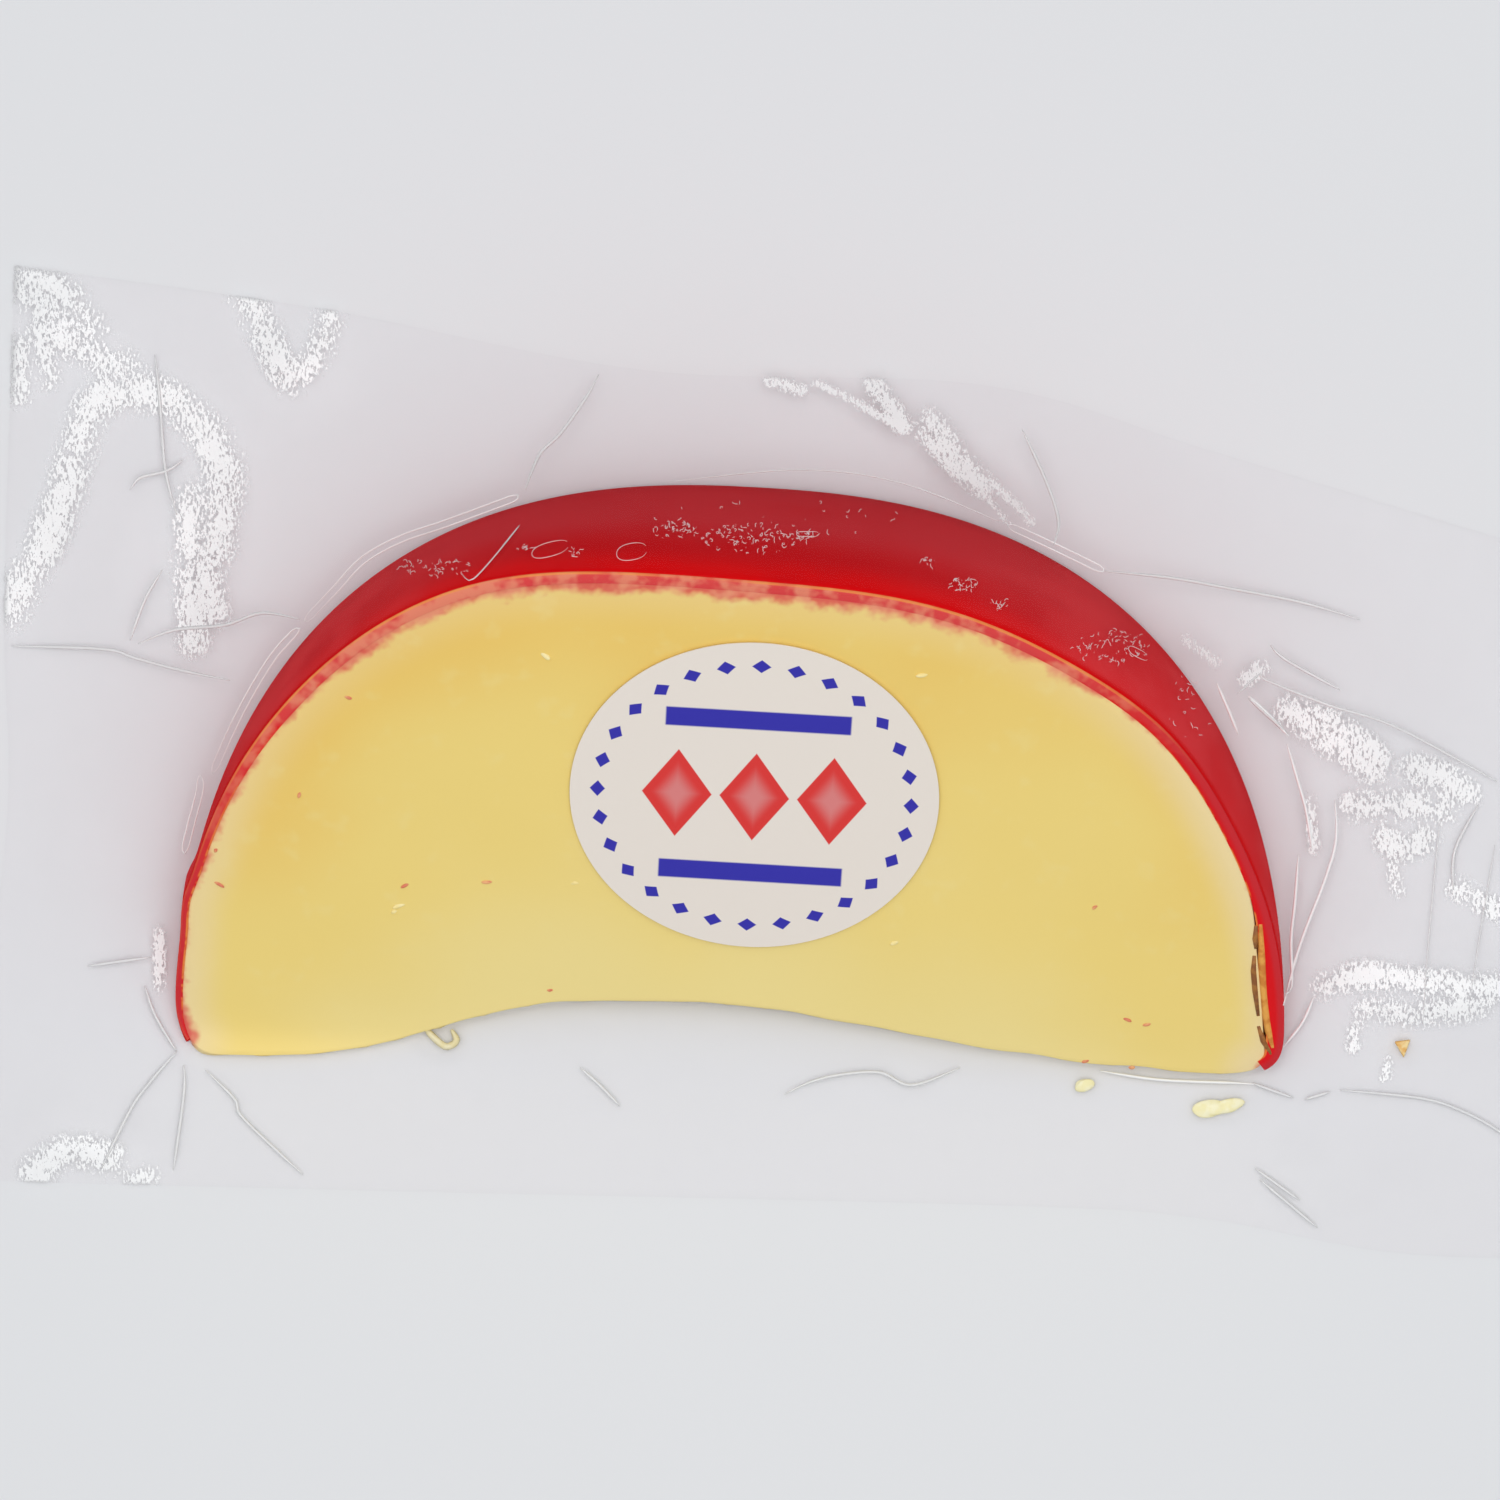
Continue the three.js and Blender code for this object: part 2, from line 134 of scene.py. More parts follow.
class Wedge:
    """The wedge's rings at one distance from its outside, in millimetres."""

    def __init__(self, steps, ball_offset, edge_offset, lift):
        outline = wedge_outline(steps)
        along, across, ball_share = outline.T
        shift = sum(high * np.exp(-(((along - at) / reach) ** 2)) for at, reach, high in RIM_SHIFTS)
        tangent = np.roll(outline[:, :2], -1, axis=0) - np.roll(outline[:, :2], 1, axis=0)
        outwards = np.column_stack([tangent[:, 1], -tangent[:, 0]])
        outwards /= np.linalg.norm(outwards, axis=1)[:, None]
        offset = edge_offset + (ball_offset - edge_offset) * ball_share
        from_kink = np.hypot(along - KINK_PLACE[0], across - KINK_PLACE[1])
        offset = (offset + KINK_HEIGHT * np.exp(-((from_kink / KINK_REACH) ** 2)))[:, None] * outwards
        self.ball_share = ball_share
        self.foot = outline[:, :2] + offset
        rolled = (self.foot[:, 1] + shift) * math.cos(WEDGE_ANGLE)
        crest_across = self.foot[:, 1] + (rolled - self.foot[:, 1]) * ball_share
        self.crest = smooth_ring(np.column_stack([self.foot[:, 0], crest_across]), (steps // 128) ** 2)
        self.lift = lift
        self.top = face_height(self.crest[:, 1]) + lift

    def side(self, height):
        """The ring on the wedge's side at a height, which may differ from point to point."""
        turn = np.arcsin(np.clip(height / self.top, 0, 1) * math.sin(WEDGE_ANGLE))
        inward = (1 - np.cos(turn)) / (1 - math.cos(WEDGE_ANGLE))
        flat = self.foot + (self.crest - self.foot) * inward[:, None]
        return in_pack(flat[:, 0], flat[:, 1], height)

    def shrunk(self, ring, scale, inset):
        """A flat ring drawn in towards the middle, by a scale and then by a distance."""
        from_middle = ring - RING_MIDDLE
        reach = np.linalg.norm(from_middle, axis=1)[:, None]
        return RING_MIDDLE + scale * (1 - inset / reach) * from_middle

    def face(self, scale, inset=0.0):
        flat = self.shrunk(self.crest, scale, inset)
        return in_pack(flat[:, 0], flat[:, 1], face_height(flat[:, 1]) + self.lift)

    def rim(self, radius, steps):
        """Rings that round the edge between the upper face and the side."""
        round_by = np.minimum(radius, ROUNDED_AT_MOST * self.top)
        corner = self.side(self.top)
        inwards = self.face(1, round_by[:, None]) - corner
        down = self.side(self.top - round_by) - corner
        turns = np.linspace(0, math.pi / 2, steps)
        return [corner + (1 - math.sin(t)) * inwards + (1 - math.cos(t)) * down for t in turns]

    def wall(self, upper, lower, steps):
        return [self.side(upper + (lower - upper) * i / steps) for i in range(1, steps + 1)]

    def base(self, scales, inset, height):
        flats = [self.shrunk(self.foot, scale, inset) for scale in scales]
        return [in_pack(flat[:, 0], flat[:, 1], height) for flat in flats]


def wrap_sheet(name, rings):
    """A closed body from a flat sheet of cells, bent round the rings with its ends drawn together."""
    around, count = len(rings[0]), len(rings)
    bpy.ops.object.select_all(action="DESELECT")
    bpy.ops.mesh.primitive_grid_add(x_subdivisions=around, y_subdivisions=count - 1, size=1)
    piece = name_piece(name)
    closed = np.array([np.vstack([ring, ring[:1]]) for ring in rings]) * MM
    piece.data.vertices.foreach_set("co", closed.astype(np.float32).ravel())
    edit_whole()
    bpy.ops.mesh.remove_doubles(threshold=0.002 * MM)
    for _ in range(2):
        bpy.ops.mesh.select_all(action="DESELECT")
        bpy.ops.mesh.select_non_manifold()
        mesh = bmesh.from_edit_mesh(piece.data)
        open_edges = [edge for edge in mesh.edges if edge.select]
        if not open_edges:
            break
        start = open_edges[0]
        bpy.ops.mesh.select_all(action="DESELECT")
        start.select = True
        bmesh.update_edit_mesh(piece.data)
        bpy.ops.mesh.loop_multi_select(ring=False)
        bpy.ops.mesh.edge_face_add()
        bpy.ops.mesh.poke()
    bpy.ops.mesh.select_all(action="SELECT")
    bpy.ops.mesh.normals_make_consistent(inside=False)
    bpy.ops.object.mode_set(mode="OBJECT")
    bpy.ops.object.shade_smooth()
    return piece


def grid_noise(x, y, size, seed):
    """Smooth noise from about -1 to 1 over the pack's plan, with swells of about the given size."""
    draw = np.random.default_rng(seed)
    total = np.zeros_like(x)
    for _ in range(7):
        heading, phase = draw.uniform(0, 2 * math.pi, 2)
        wave = 2 * math.pi / (size * draw.uniform(1.6, 3.2))
        total += np.sin(wave * (x * math.cos(heading) + y * math.sin(heading)) + phase)
    return total / 3.5


# At the right end the wax has come away from the paste and stands off it.
FLAP_PLACE, FLAP_REACH, FLAP_GAP = (68.0, 19.5), 12.5, 0.5
INTO_WAX, EDGE_INSET, NIBBLE_DEPTH, PASTE_RIM = 0.04, 0.05, 0.45, 0.15
outline = wedge_outline(WEDGE_STEPS)
from_flap = np.hypot(outline[:, 0] - FLAP_PLACE[0], outline[:, 1] - FLAP_PLACE[1])
at_flap = np.exp(-((from_flap / FLAP_REACH) ** 4))
flap_gap = FLAP_GAP * at_flap
wax_thickness = WAX_THICKNESS * (np.interp(outline[:, 0], (-68, -56), (0.6, 1.0)) + 0.5 * at_flap)
nibbled = np.abs(grid_noise(outline[:, 0], outline[:, 1], 3.5, 21))
paste_offset = INTO_WAX - wax_thickness - flap_gap
paste_shape = Wedge(WEDGE_STEPS, paste_offset, -EDGE_INSET - NIBBLE_DEPTH * nibbled, 0.0)
face_scales = np.concatenate([[0.03], np.linspace(0.08, 0.97, 34)])
paste_rings = [paste_shape.face(scale) for scale in face_scales]
paste_rings += paste_shape.rim(PASTE_RIM, 4)
shoulder = paste_shape.top - np.minimum(PASTE_RIM, ROUNDED_AT_MOST * paste_shape.top)
paste_rings += paste_shape.wall(shoulder, 0.3, 20)
paste_rings += paste_shape.base([1.0], 0.4, 0.02) + paste_shape.base([0.7, 0.35, 0.05], 0.0, 0.02)
paste = wrap_sheet("cheese_paste", paste_rings)


def points_of(piece):
    """A piece's vertices in millimetres."""
    flat = np.empty(len(piece.data.vertices) * 3, np.float32)
    piece.data.vertices.foreach_get("co", flat)
    return flat.reshape(-1, 3).astype(float) / MM


def move_points(piece, points):
    piece.data.vertices.foreach_set("co", (points * MM).astype(np.float32).ravel())
    piece.data.update()


def put_attribute(piece, name, values):
    """A number for each vertex, which the piece's material reads."""
    made = piece.data.attributes.new(name, "FLOAT", "POINT")
    made.data.foreach_set("value", np.asarray(values, np.float32))


def distance_to_ring(points, ring, closed=True):
    """How far each flat point is from a line of flat points, and the place on it that is nearest."""
    starts = ring if closed else ring[:-1]
    ends = np.roll(ring, -1, axis=0) if closed else ring[1:]
    step = ends - starts
    best = np.full(len(points), np.inf)
    place = np.zeros(len(points))
    for i in range(len(starts)):
        off = points - starts[i]
        share = np.clip(off @ step[i] / max(step[i] @ step[i], 1e-9), 0, 1)
        distance = np.hypot(*(off - share[:, None] * step[i]).T)
        nearer = distance < best
        best[nearer] = distance[nearer]
        place[nearer] = i + share[nearer]
    return best, place


# The wire's cut leaves the face slightly uneven, and smears red wax over it next to the rim.
FACE_SWELL, FACE_SWELL_SIZE = 0.09, 11
paste_points = points_of(paste)
on_top = np.clip((paste_points[:, 2] - 1.0) / 3.0, 0, 1)
paste_swell = grid_noise(paste_points[:, 0], paste_points[:, 1], FACE_SWELL_SIZE, 3)
paste_points[:, 2] += FACE_SWELL * paste_swell * on_top - FACE_SWELL * on_top
move_points(paste, paste_points)
wax_shape = Wedge(WEDGE_STEPS, 0.0, 0.0, 0.0)
COATED_SHARE = 0.35
coated = np.flatnonzero(wax_shape.ball_share > COATED_SHARE)
coated = np.roll(coated, -1 - int(np.argmax(np.diff(coated))))
RIM_LINE_MIDDLE, RIM_LINE_REACH = -8.0, 58.0
SMEAR_AT_SIDES, SMEAR_AT_TOP = 0.7, 2.3


def put_rim_attributes(piece):
    """How far each point is inside the wax's outer rim, in plan, and how far the smear reaches there."""
    points = points_of(piece)
    line = in_pack(*wax_shape.crest[coated].T, 0)[:, :2]
    from_rim, place = distance_to_ring(points[:, :2], line, closed=False)
    put_attribute(piece, "from_rim", from_rim)
    thickness_there = np.interp(place, np.arange(len(coated)), wax_thickness[coated])
    put_attribute(piece, "past_wax", from_rim - thickness_there)
    along = (points[:, :2] - AXIS_MIDDLE) @ ALONG
    at_top = np.exp(-(((along - RIM_LINE_MIDDLE) / RIM_LINE_REACH) ** 6))
    put_attribute(piece, "smear_reach", SMEAR_AT_SIDES + (SMEAR_AT_TOP - SMEAR_AT_SIDES) * at_top)


put_rim_attributes(paste)
across = (paste_points[:, :2] - AXIS_MIDDLE) @ ACROSS
along = (paste_points[:, :2] - AXIS_MIDDLE) @ ALONG
warmth = np.interp(across, (5, 14, 22, 34, 52), (0.03, 0.15, 0.32, 0.42, 0.88))
warmth += 0.42 * np.exp(-(((along + 60) / 16) ** 2)) + 0.3 * np.exp(-(((along - 58) / 13) ** 2))
put_attribute(paste, "warmth", np.clip(warmth, 0, 1))


def new_material(name):
    """An empty material and its node tree."""
    material = bpy.data.materials.new(name)
    material.use_nodes = True
    material.node_tree.nodes.clear()
    return material, material.node_tree


def node(tree, kind, inputs=None, **settings):
    """A shader node with its settings, and each input set, or linked to a socket or a node."""
    made = tree.nodes.new("ShaderNode" + kind)
    for name, value in settings.items():
        setattr(made, name, value)
    for name, value in (inputs or {}).items():
        if isinstance(value, bpy.types.Node):
            value = value.outputs[0]
        if isinstance(value, bpy.types.NodeSocket):
            tree.links.new(value, made.inputs[name])
        else:
            made.inputs[name].default_value = value
    return made


def maths(tree, operation, first, second=0.0):
    return node(tree, "Math", {0: first, 1: second}, operation=operation).outputs[0]


def blend_colours(tree, share, first, second):
    """The first colour, turning to the second as the share goes from 0 to 1."""
    mix = node(tree, "Mix", data_type="RGBA")
    for name, value in (("Factor", share), ("A", first), ("B", second)):
        kind = "VALUE" if name == "Factor" else "RGBA"
        socket = next(s for s in mix.inputs if s.name == name and s.type == kind)
        if isinstance(value, bpy.types.NodeSocket):
            tree.links.new(value, socket)
        else:
            socket.default_value = value
    return next(s for s in mix.outputs if s.type == "RGBA")


def spread(tree, value, low, high, at_low=0.0, at_high=1.0):
    """A value's range, smoothed and clamped, from one pair of limits to another."""
    ranged = node(tree, "MapRange", {0: value, 1: low, 2: high, 3: at_low, 4: at_high},
                  interpolation_type="SMOOTHSTEP")
    return ranged.outputs[0]


def noise(tree, scale, detail, roughness=0.5):
    """Noise over the piece's own coordinates, in metres."""
    place = node(tree, "TexCoord").outputs["Object"]
    inputs = {"Vector": place, "Scale": scale, "Detail": detail, "Roughness": roughness}
    return node(tree, "TexNoise", inputs).outputs["Fac"]


def attribute(tree, name):
    return node(tree, "Attribute", attribute_name=name).outputs["Fac"]


def times(tree, first, second):
    return maths(tree, "MULTIPLY", first, second)


def mix_shaders(tree, share, first, second):
    return node(tree, "MixShader", {0: share, 1: first, 2: second})


def finish_material(tree, shader):
    node(tree, "OutputMaterial", {"Surface": shader})


def finish_matt(tree, colour, roughness, gloss, grain, depth, strength):
    """Ends a material with a plain surface of one colour, which a fine grain roughens."""
    bump = node(tree, "Bump", {"Height": grain, "Distance": depth, "Strength": strength})
    finish_material(tree, node(tree, "BsdfPrincipled", {
        "Base Color": colour, "Roughness": roughness, "Specular IOR Level": gloss, "Normal": bump,
    }))


def centred(tree, value, scale):
    """A value from 0 to 1, as a share above or below its middle."""
    return times(tree, maths(tree, "SUBTRACT", value, 0.5), scale)


SMEAR_DEEP = (0.74, 0.075, 0.075, 1)
SMEAR_PALE = (0.82, 0.27, 0.17, 1)
smear_group = bpy.data.node_groups.new("red smear on the cut", "ShaderNodeTree")
smear_group.interface.new_socket("Share", in_out="OUTPUT", socket_type="NodeSocketFloat")
smear_group.interface.new_socket("Blotches", in_out="OUTPUT", socket_type="NodeSocketFloat")
patchy = noise(smear_group, 190, 3, 0.7)
from_rim, smear_reach = (attribute(smear_group, name) for name in ("from_rim", "smear_reach"))
inside = maths(smear_group, "SUBTRACT", from_rim, smear_reach)
smear_edge = maths(smear_group, "ADD", inside, centred(smear_group, patchy, 4.2))
group_end = smear_group.nodes.new("NodeGroupOutput")
smear_group.links.new(spread(smear_group, smear_edge, -0.9, 0.5, 0.9, 0.0), group_end.inputs[0])
smear_group.links.new(spread(smear_group, noise(smear_group, 330, 2, 0.6), 0.4, 0.62), group_end.inputs[1])

PASTE_MIDDLE = (0.905, 0.697, 0.218, 1)
PASTE_WARM = (0.888, 0.605, 0.152, 1)
PASTE_PALE = (0.905, 0.742, 0.298, 1)
PASTE_CREAM = (0.90, 0.725, 0.385, 1)

paste_finish, tree = new_material("cheese paste")
warmth = attribute(tree, "warmth")
warmth = maths(tree, "ADD", warmth, centred(tree, noise(tree, 40, 1), 0.5))
body = blend_colours(tree, spread(tree, warmth, 0.0, 0.5), PASTE_PALE, PASTE_MIDDLE)
body = blend_colours(tree, spread(tree, warmth, 0.5, 1.0), body, PASTE_WARM)
flecks = spread(tree, noise(tree, 240, 2, 0.6), 0.56, 0.74, 0.0, 0.3)
body = blend_colours(tree, flecks, body, PASTE_PALE)
at_sides = spread(tree, attribute(tree, "smear_reach"), 0.7, 2.2, 1.0, 0.35)
near_rind = spread(tree, attribute(tree, "from_rim"), 1.6, 7.0, 0.95, 0.0)
near_rind = times(tree, near_rind, at_sides)
body = blend_colours(tree, near_rind, body, PASTE_CREAM)
smear = node(tree, "Group", node_tree=smear_group)
smear_colour = blend_colours(tree, smear.outputs[1], SMEAR_DEEP, SMEAR_PALE)
body = blend_colours(tree, smear.outputs[0], body, smear_colour)
finish_matt(tree, body, 0.5, 0.2, noise(tree, 420, 2, 0.6), 0.00006, 0.6)
paste.data.materials.append(paste_finish)
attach(paste, "root")

# Wax coat
# Red cheese wax about 1.5 mm thick on the ball's outside, put on hot by dipping. The cuts show its
# edge, where the wire has smeared paste over it.
WAX_WALL_STEPS = 40
INTO_PASTE, WAX_ROUNDING = 0.03, 0.12
wax_wall = [wax_shape.side(wax_shape.top * (1 - i / WAX_WALL_STEPS)) for i in range(WAX_WALL_STEPS + 1)]
wax_rows = np.array([ring[coated] for ring in wax_wall])
bpy.ops.object.select_all(action="DESELECT")
bpy.ops.mesh.primitive_grid_add(x_subdivisions=len(coated) - 1, y_subdivisions=WAX_WALL_STEPS, size=1)
wax = name_piece("wax_coat")
move_points(wax, wax_rows.reshape(-1, 3))
edit_whole()
bpy.ops.mesh.normals_make_consistent(inside=False)
bpy.ops.object.mode_set(mode="OBJECT")
faces_out = sum(face.normal.dot(face.center) for face in wax.data.polygons)
if faces_out < 0:
    bpy.ops.object.mode_set(mode="EDIT")
    bpy.ops.mesh.flip_normals()
    bpy.ops.object.mode_set(mode="OBJECT")
thickness_group = wax.vertex_groups.new(name="thickness")
for i, thick in enumerate(wax_thickness[coated]):
    column = [i + row * len(coated) for row in range(WAX_WALL_STEPS + 1)]
    thickness_group.add(column, float(thick / wax_thickness.max()), "REPLACE")
thicken = wax.modifiers.new("wax thickness", "SOLIDIFY")
thicken.vertex_group = thickness_group.name
thicken.thickness = (wax_thickness.max() + INTO_PASTE) * MM
thicken.offset = -1
bpy.ops.object.modifier_apply(modifier=thicken.name)
soften = wax.modifiers.new("softened edges", "BEVEL")
soften.width = WAX_ROUNDING * MM
soften.segments = 2
soften.limit_method = "ANGLE"
soften.angle_limit = math.radians(50)
bpy.ops.object.modifier_apply(modifier=soften.name)
bpy.ops.object.shade_smooth_by_angle(angle=math.radians(40))

wax_points = points_of(wax)
wax_across = (wax_points[:, :2] - AXIS_MIDDLE) @ ACROSS
put_attribute(wax, "below_cut", face_height(wax_across) - wax_points[:, 2])
put_rim_attributes(wax)
# Where the film's sheen is painted on the wax: none in the middle, more towards the wedge's ends.
SHEEN_MIDDLE, SHEEN_REACH = -4.0, 42.0
wax_along = (wax_points[:, :2] - AXIS_MIDDLE) @ ALONG
put_attribute(wax, "painted_sheen", 1 - np.exp(-(((wax_along - SHEEN_MIDDLE) / SHEEN_REACH) ** 4)))

# Lit and shaded copies of the wax's red: the first is lit, and the next two are painted shade lower down the
# side. The second also makes random darker blotches. The pale red is a painted sheen, and the orange is the
# rim line.
WAX_BRIGHT = (0.80, 0.004, 0.006, 1)
WAX_DEEP = (0.60, 0.008, 0.012, 1)
WAX_OUTER = (0.62, 0.032, 0.040, 1)
WAX_PAINTED_SHEEN = (0.86, 0.056, 0.064, 1)
RIM_LINE = (0.88, 0.32, 0.07, 1)

wax_finish, tree = new_material("red wax")
at_top = spread(tree, attribute(tree, "smear_reach"), 0.9, 2.1)
at_sides = spread(tree, at_top, 0.0, 1.0, 1.0, 0.0)
below_cut = attribute(tree, "below_cut")
from_rim = attribute(tree, "from_rim")
# Painted shade: the side is painted darker the further it lies below the cut, less so at the wedge's sides.
painted_shade_share = times(tree, spread(tree, below_cut, 1, 9), spread(tree, at_sides, 0.0, 1.0, 1.0, 0.2))
body = blend_colours(tree, painted_shade_share, WAX_BRIGHT, WAX_DEEP)
lower_painted_shade_share = times(tree, spread(tree, below_cut, 8, 20), spread(tree, at_sides, 0.0, 1.0, 1.0, 0.3))
body = blend_colours(tree, lower_painted_shade_share, body, WAX_OUTER)
body = blend_colours(tree, spread(tree, noise(tree, 70, 3, 0.5), 0.5, 0.75, 0.0, 0.35), body, WAX_DEEP)
# Painted sheen: a paler red where the film's reflection lies over the wax's side, towards the ends, in random
# patches.
painted_sheen_share = times(tree, spread(tree, below_cut, 0.4, 2.6, 0.0, 0.9), attribute(tree, "painted_sheen"))
painted_sheen_share = times(tree, painted_sheen_share, spread(tree, noise(tree, 110, 2, 0.5), 0.35, 0.65, 0.6, 1.0))
body = blend_colours(tree, painted_sheen_share, body, WAX_PAINTED_SHEEN)
on_cut = spread(tree, below_cut, 0.10, 0.35, 1.0, 0.0)
cut_at_sides = times(tree, on_cut, at_sides)
# The outer half of the wax's cut at the sides is painted with the darker red as well.
outer_half = times(tree, cut_at_sides, spread(tree, from_rim, 0.5, 1.2, 1.0, 0.35))
body = blend_colours(tree, outer_half, body, WAX_OUTER)
smear = node(tree, "Group", node_tree=smear_group)
smeared = times(tree, times(tree, on_cut, at_top), smear.outputs[0])
smear_colour = blend_colours(tree, smear.outputs[1], SMEAR_DEEP, SMEAR_PALE)
body = blend_colours(tree, smeared, body, smear_colour)
top_line = times(tree, spread(tree, from_rim, 0.16, 0.28, 0.7, 0.0), at_top)
top_line = times(tree, top_line, spread(tree, noise(tree, 90, 2, 0.5), 0.35, 0.5, 0.25, 1.0))
side_line = times(tree, spread(tree, attribute(tree, "past_wax"), -0.3, -0.12, 0.0, 0.8), at_sides)
side_line = times(tree, side_line, spread(tree, noise(tree, 500, 2, 0.6), 0.4, 0.55))
line_share = times(tree, on_cut, maths(tree, "MAXIMUM", top_line, side_line))
body = blend_colours(tree, line_share, body, RIM_LINE)
finish_matt(tree, body, 0.45, 0.0, noise(tree, 260, 1), 0.00012, 0.5)
wax.data.materials.append(wax_finish)
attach(wax, "root")

# Rind slivers
# Strips of dried rind that show in the gap where the wax stands off the paste at the right end.
CAMERA_PLACE = np.array([-9.125, 1.5, 937.5])


def on_cut(x, y, lift):
    """The point of the upper cut face that is seen over a place on the table, in millimetres."""
    place = np.array([x, y, 0.0])
    for _ in range(8):
        rise = (place[:2] - AXIS_MIDDLE) @ ACROSS
        height = float(face_height(rise)) + lift
        nearer = 1 - height / CAMERA_PLACE[2]
        place = np.append(CAMERA_PLACE[:2] + (np.array([x, y]) - CAMERA_PLACE[:2]) * nearer, height)
    return place


def draw_edge(points):
    """A smooth line through a few points, which passes through each."""
    points = np.array(points, float)
    padded = np.vstack([points[:1], points, points[-1:]])
    line = []
    for a, b, c, d in zip(padded, padded[1:], padded[2:], padded[3:]):
        for t in np.linspace(0, 1, 12, endpoint=False):
            ends = 2 * b + (c - a) * t
            line.append((ends + (2 * a - 5 * b + 4 * c - d) * t**2 + (3 * b - a - 3 * c + d) * t**3) / 2)
    return np.array(line + [points[-1]])


def draw_tubes(name, lines, radius, taper=0.35):
    """Round strands through lists of points, in millimetres, joined in one piece."""
    curve = bpy.data.curves.new(name, "CURVE")
    curve.dimensions = "3D"
    curve.bevel_depth = radius * MM
    curve.bevel_resolution = 1
    curve.use_fill_caps = True
    for line in lines:
        strand = curve.splines.new("POLY")
        strand.points.add(len(line) - 1)
        for i, point in enumerate(line):
            strand.points[i].co = (*(np.array(point) * MM), 1)
            from_end = min(i, len(line) - 1 - i) / max(len(line) - 1, 1)
            strand.points[i].radius = taper + (1 - taper) * min(1, from_end * 5)
    piece = bpy.data.objects.new(name, curve)
    bpy.context.scene.collection.objects.link(piece)
    bpy.ops.object.select_all(action="DESELECT")
    piece.select_set(True)
    bpy.context.view_layer.objects.active = piece
    bpy.ops.object.convert(target="MESH")
    piece.data.name = name
    edit_whole()
    bpy.ops.mesh.remove_doubles(threshold=0.0005 * MM)
    bpy.ops.mesh.normals_make_consistent(inside=False)
    bpy.ops.object.mode_set(mode="OBJECT")
    bpy.ops.object.shade_smooth()
    return piece


def dress_crumb(piece, name, colour, other_colour):
    """Gives a crumb or a sliver an uneven finish, mottled between two colours."""
    made, tree = new_material(name)
    mottled = blend_colours(tree, spread(tree, noise(tree, 800, 2, 0.6), 0.4, 0.62), colour, other_colour)
    finish_matt(tree, mottled, 0.5, 0.3, noise(tree, 1400, 1), 0.00008, 0.5)
    piece.data.materials.append(made)
    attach(piece, "root")


BROWN_LINES = (
    ((54.1, -20.4), (54.0, -22.0), (54.1, -23.2)),
    ((53.9, -24.1), (53.8, -26.0), (54.0, -28.5), (54.4, -31.6)),
    ((54.4, -32.9), (55.0, -34.8), (56.0, -36.4)),
)
ORANGE_LINE = ((54.7, -20.2), (54.9, -25.2), (55.1, -29.0), (55.6, -33.0), (56.2, -35.6))
SLIVER_SINK, STRIP_SINK = 0.27, 0.3
brown_lines = [[on_cut(x, y, -SLIVER_SINK) for x, y in line] for line in BROWN_LINES]
brown = draw_tubes("rind_slivers", brown_lines, 0.45, 0.7)
dress_crumb(brown, "dried rind", (0.40, 0.17, 0.04, 1), (0.27, 0.10, 0.03, 1))
orange_line = [on_cut(x, y, -STRIP_SINK) for x, y in draw_edge(ORANGE_LINE)]
orange = draw_tubes("rind_strip", [orange_line], 0.5, 0.6)
dress_crumb(orange, "orange rind", (0.84, 0.40, 0.08, 1), (0.68, 0.24, 0.04, 1))

# Crumbs and smears
# Crumbs of paste that the wire left in the pouch, a curl of paste at the thin edge, and specks of wax
# that the wire dragged over the cut face.


def draw_lump(name, place, size, turn, seed):
    """A small rounded crumb, which rests on the table or on the face."""
    bpy.ops.object.select_all(action="DESELECT")
    bpy.ops.mesh.primitive_ico_sphere_add(subdivisions=4, radius=1, location=(0, 0, 0))
    piece = name_piece(name)
    points = points_of(piece) * MM
    wobble = grid_noise(points[:, 0] + points[:, 2], points[:, 1] - points[:, 2], 0.9, seed)
    points = points * (1 + 0.12 * wobble)[:, None] * size
    cosine, sine = math.cos(turn), math.sin(turn)
    turned = points @ np.array([[cosine, sine, 0], [-sine, cosine, 0], [0, 0, 1]])
    move_points(piece, turned + place)
    bpy.ops.object.shade_smooth()
    return piece


def join_pieces(pieces, name):
    bpy.ops.object.select_all(action="DESELECT")
    for piece in pieces:
        piece.select_set(True)
    bpy.context.view_layer.objects.active = pieces[0]
    bpy.ops.object.join()
    pieces[0].name = name
    pieces[0].data.name = name
    return pieces[0]


def strew_lumps(name, places, wide, high, sink, first_seed):
    """Small long lumps, sunk into the cut face at places that give their length and their turn."""
    lumps = []
    for i, (x, y, long, turn) in enumerate(places):
        size = np.array([long, wide, high])
        lumps.append(draw_lump("lump", on_cut(x, y, -sink), size, turn, first_seed + i))
    return join_pieces(lumps, name)


CRUMBS = (
    ((32.6, -40.4, 0.8), (1.2, 0.8, 0.3), 0.2),
    ((48.3, -43.3, 0.8), (2.1, 1.1, 0.35), 0.1),
    ((50.6, -42.9, 0.8), (2.0, 0.9, 0.35), 0.2),
)
lumps = []
for i, (place, size, turn) in enumerate(CRUMBS):
    lumps.append(draw_lump("lump", np.array(place), np.array(size), turn, i))
crumbs = join_pieces(lumps, "crumbs")
dress_crumb(crumbs, "crumb paste", (0.92, 0.88, 0.60, 1), (0.88, 0.82, 0.46, 1))

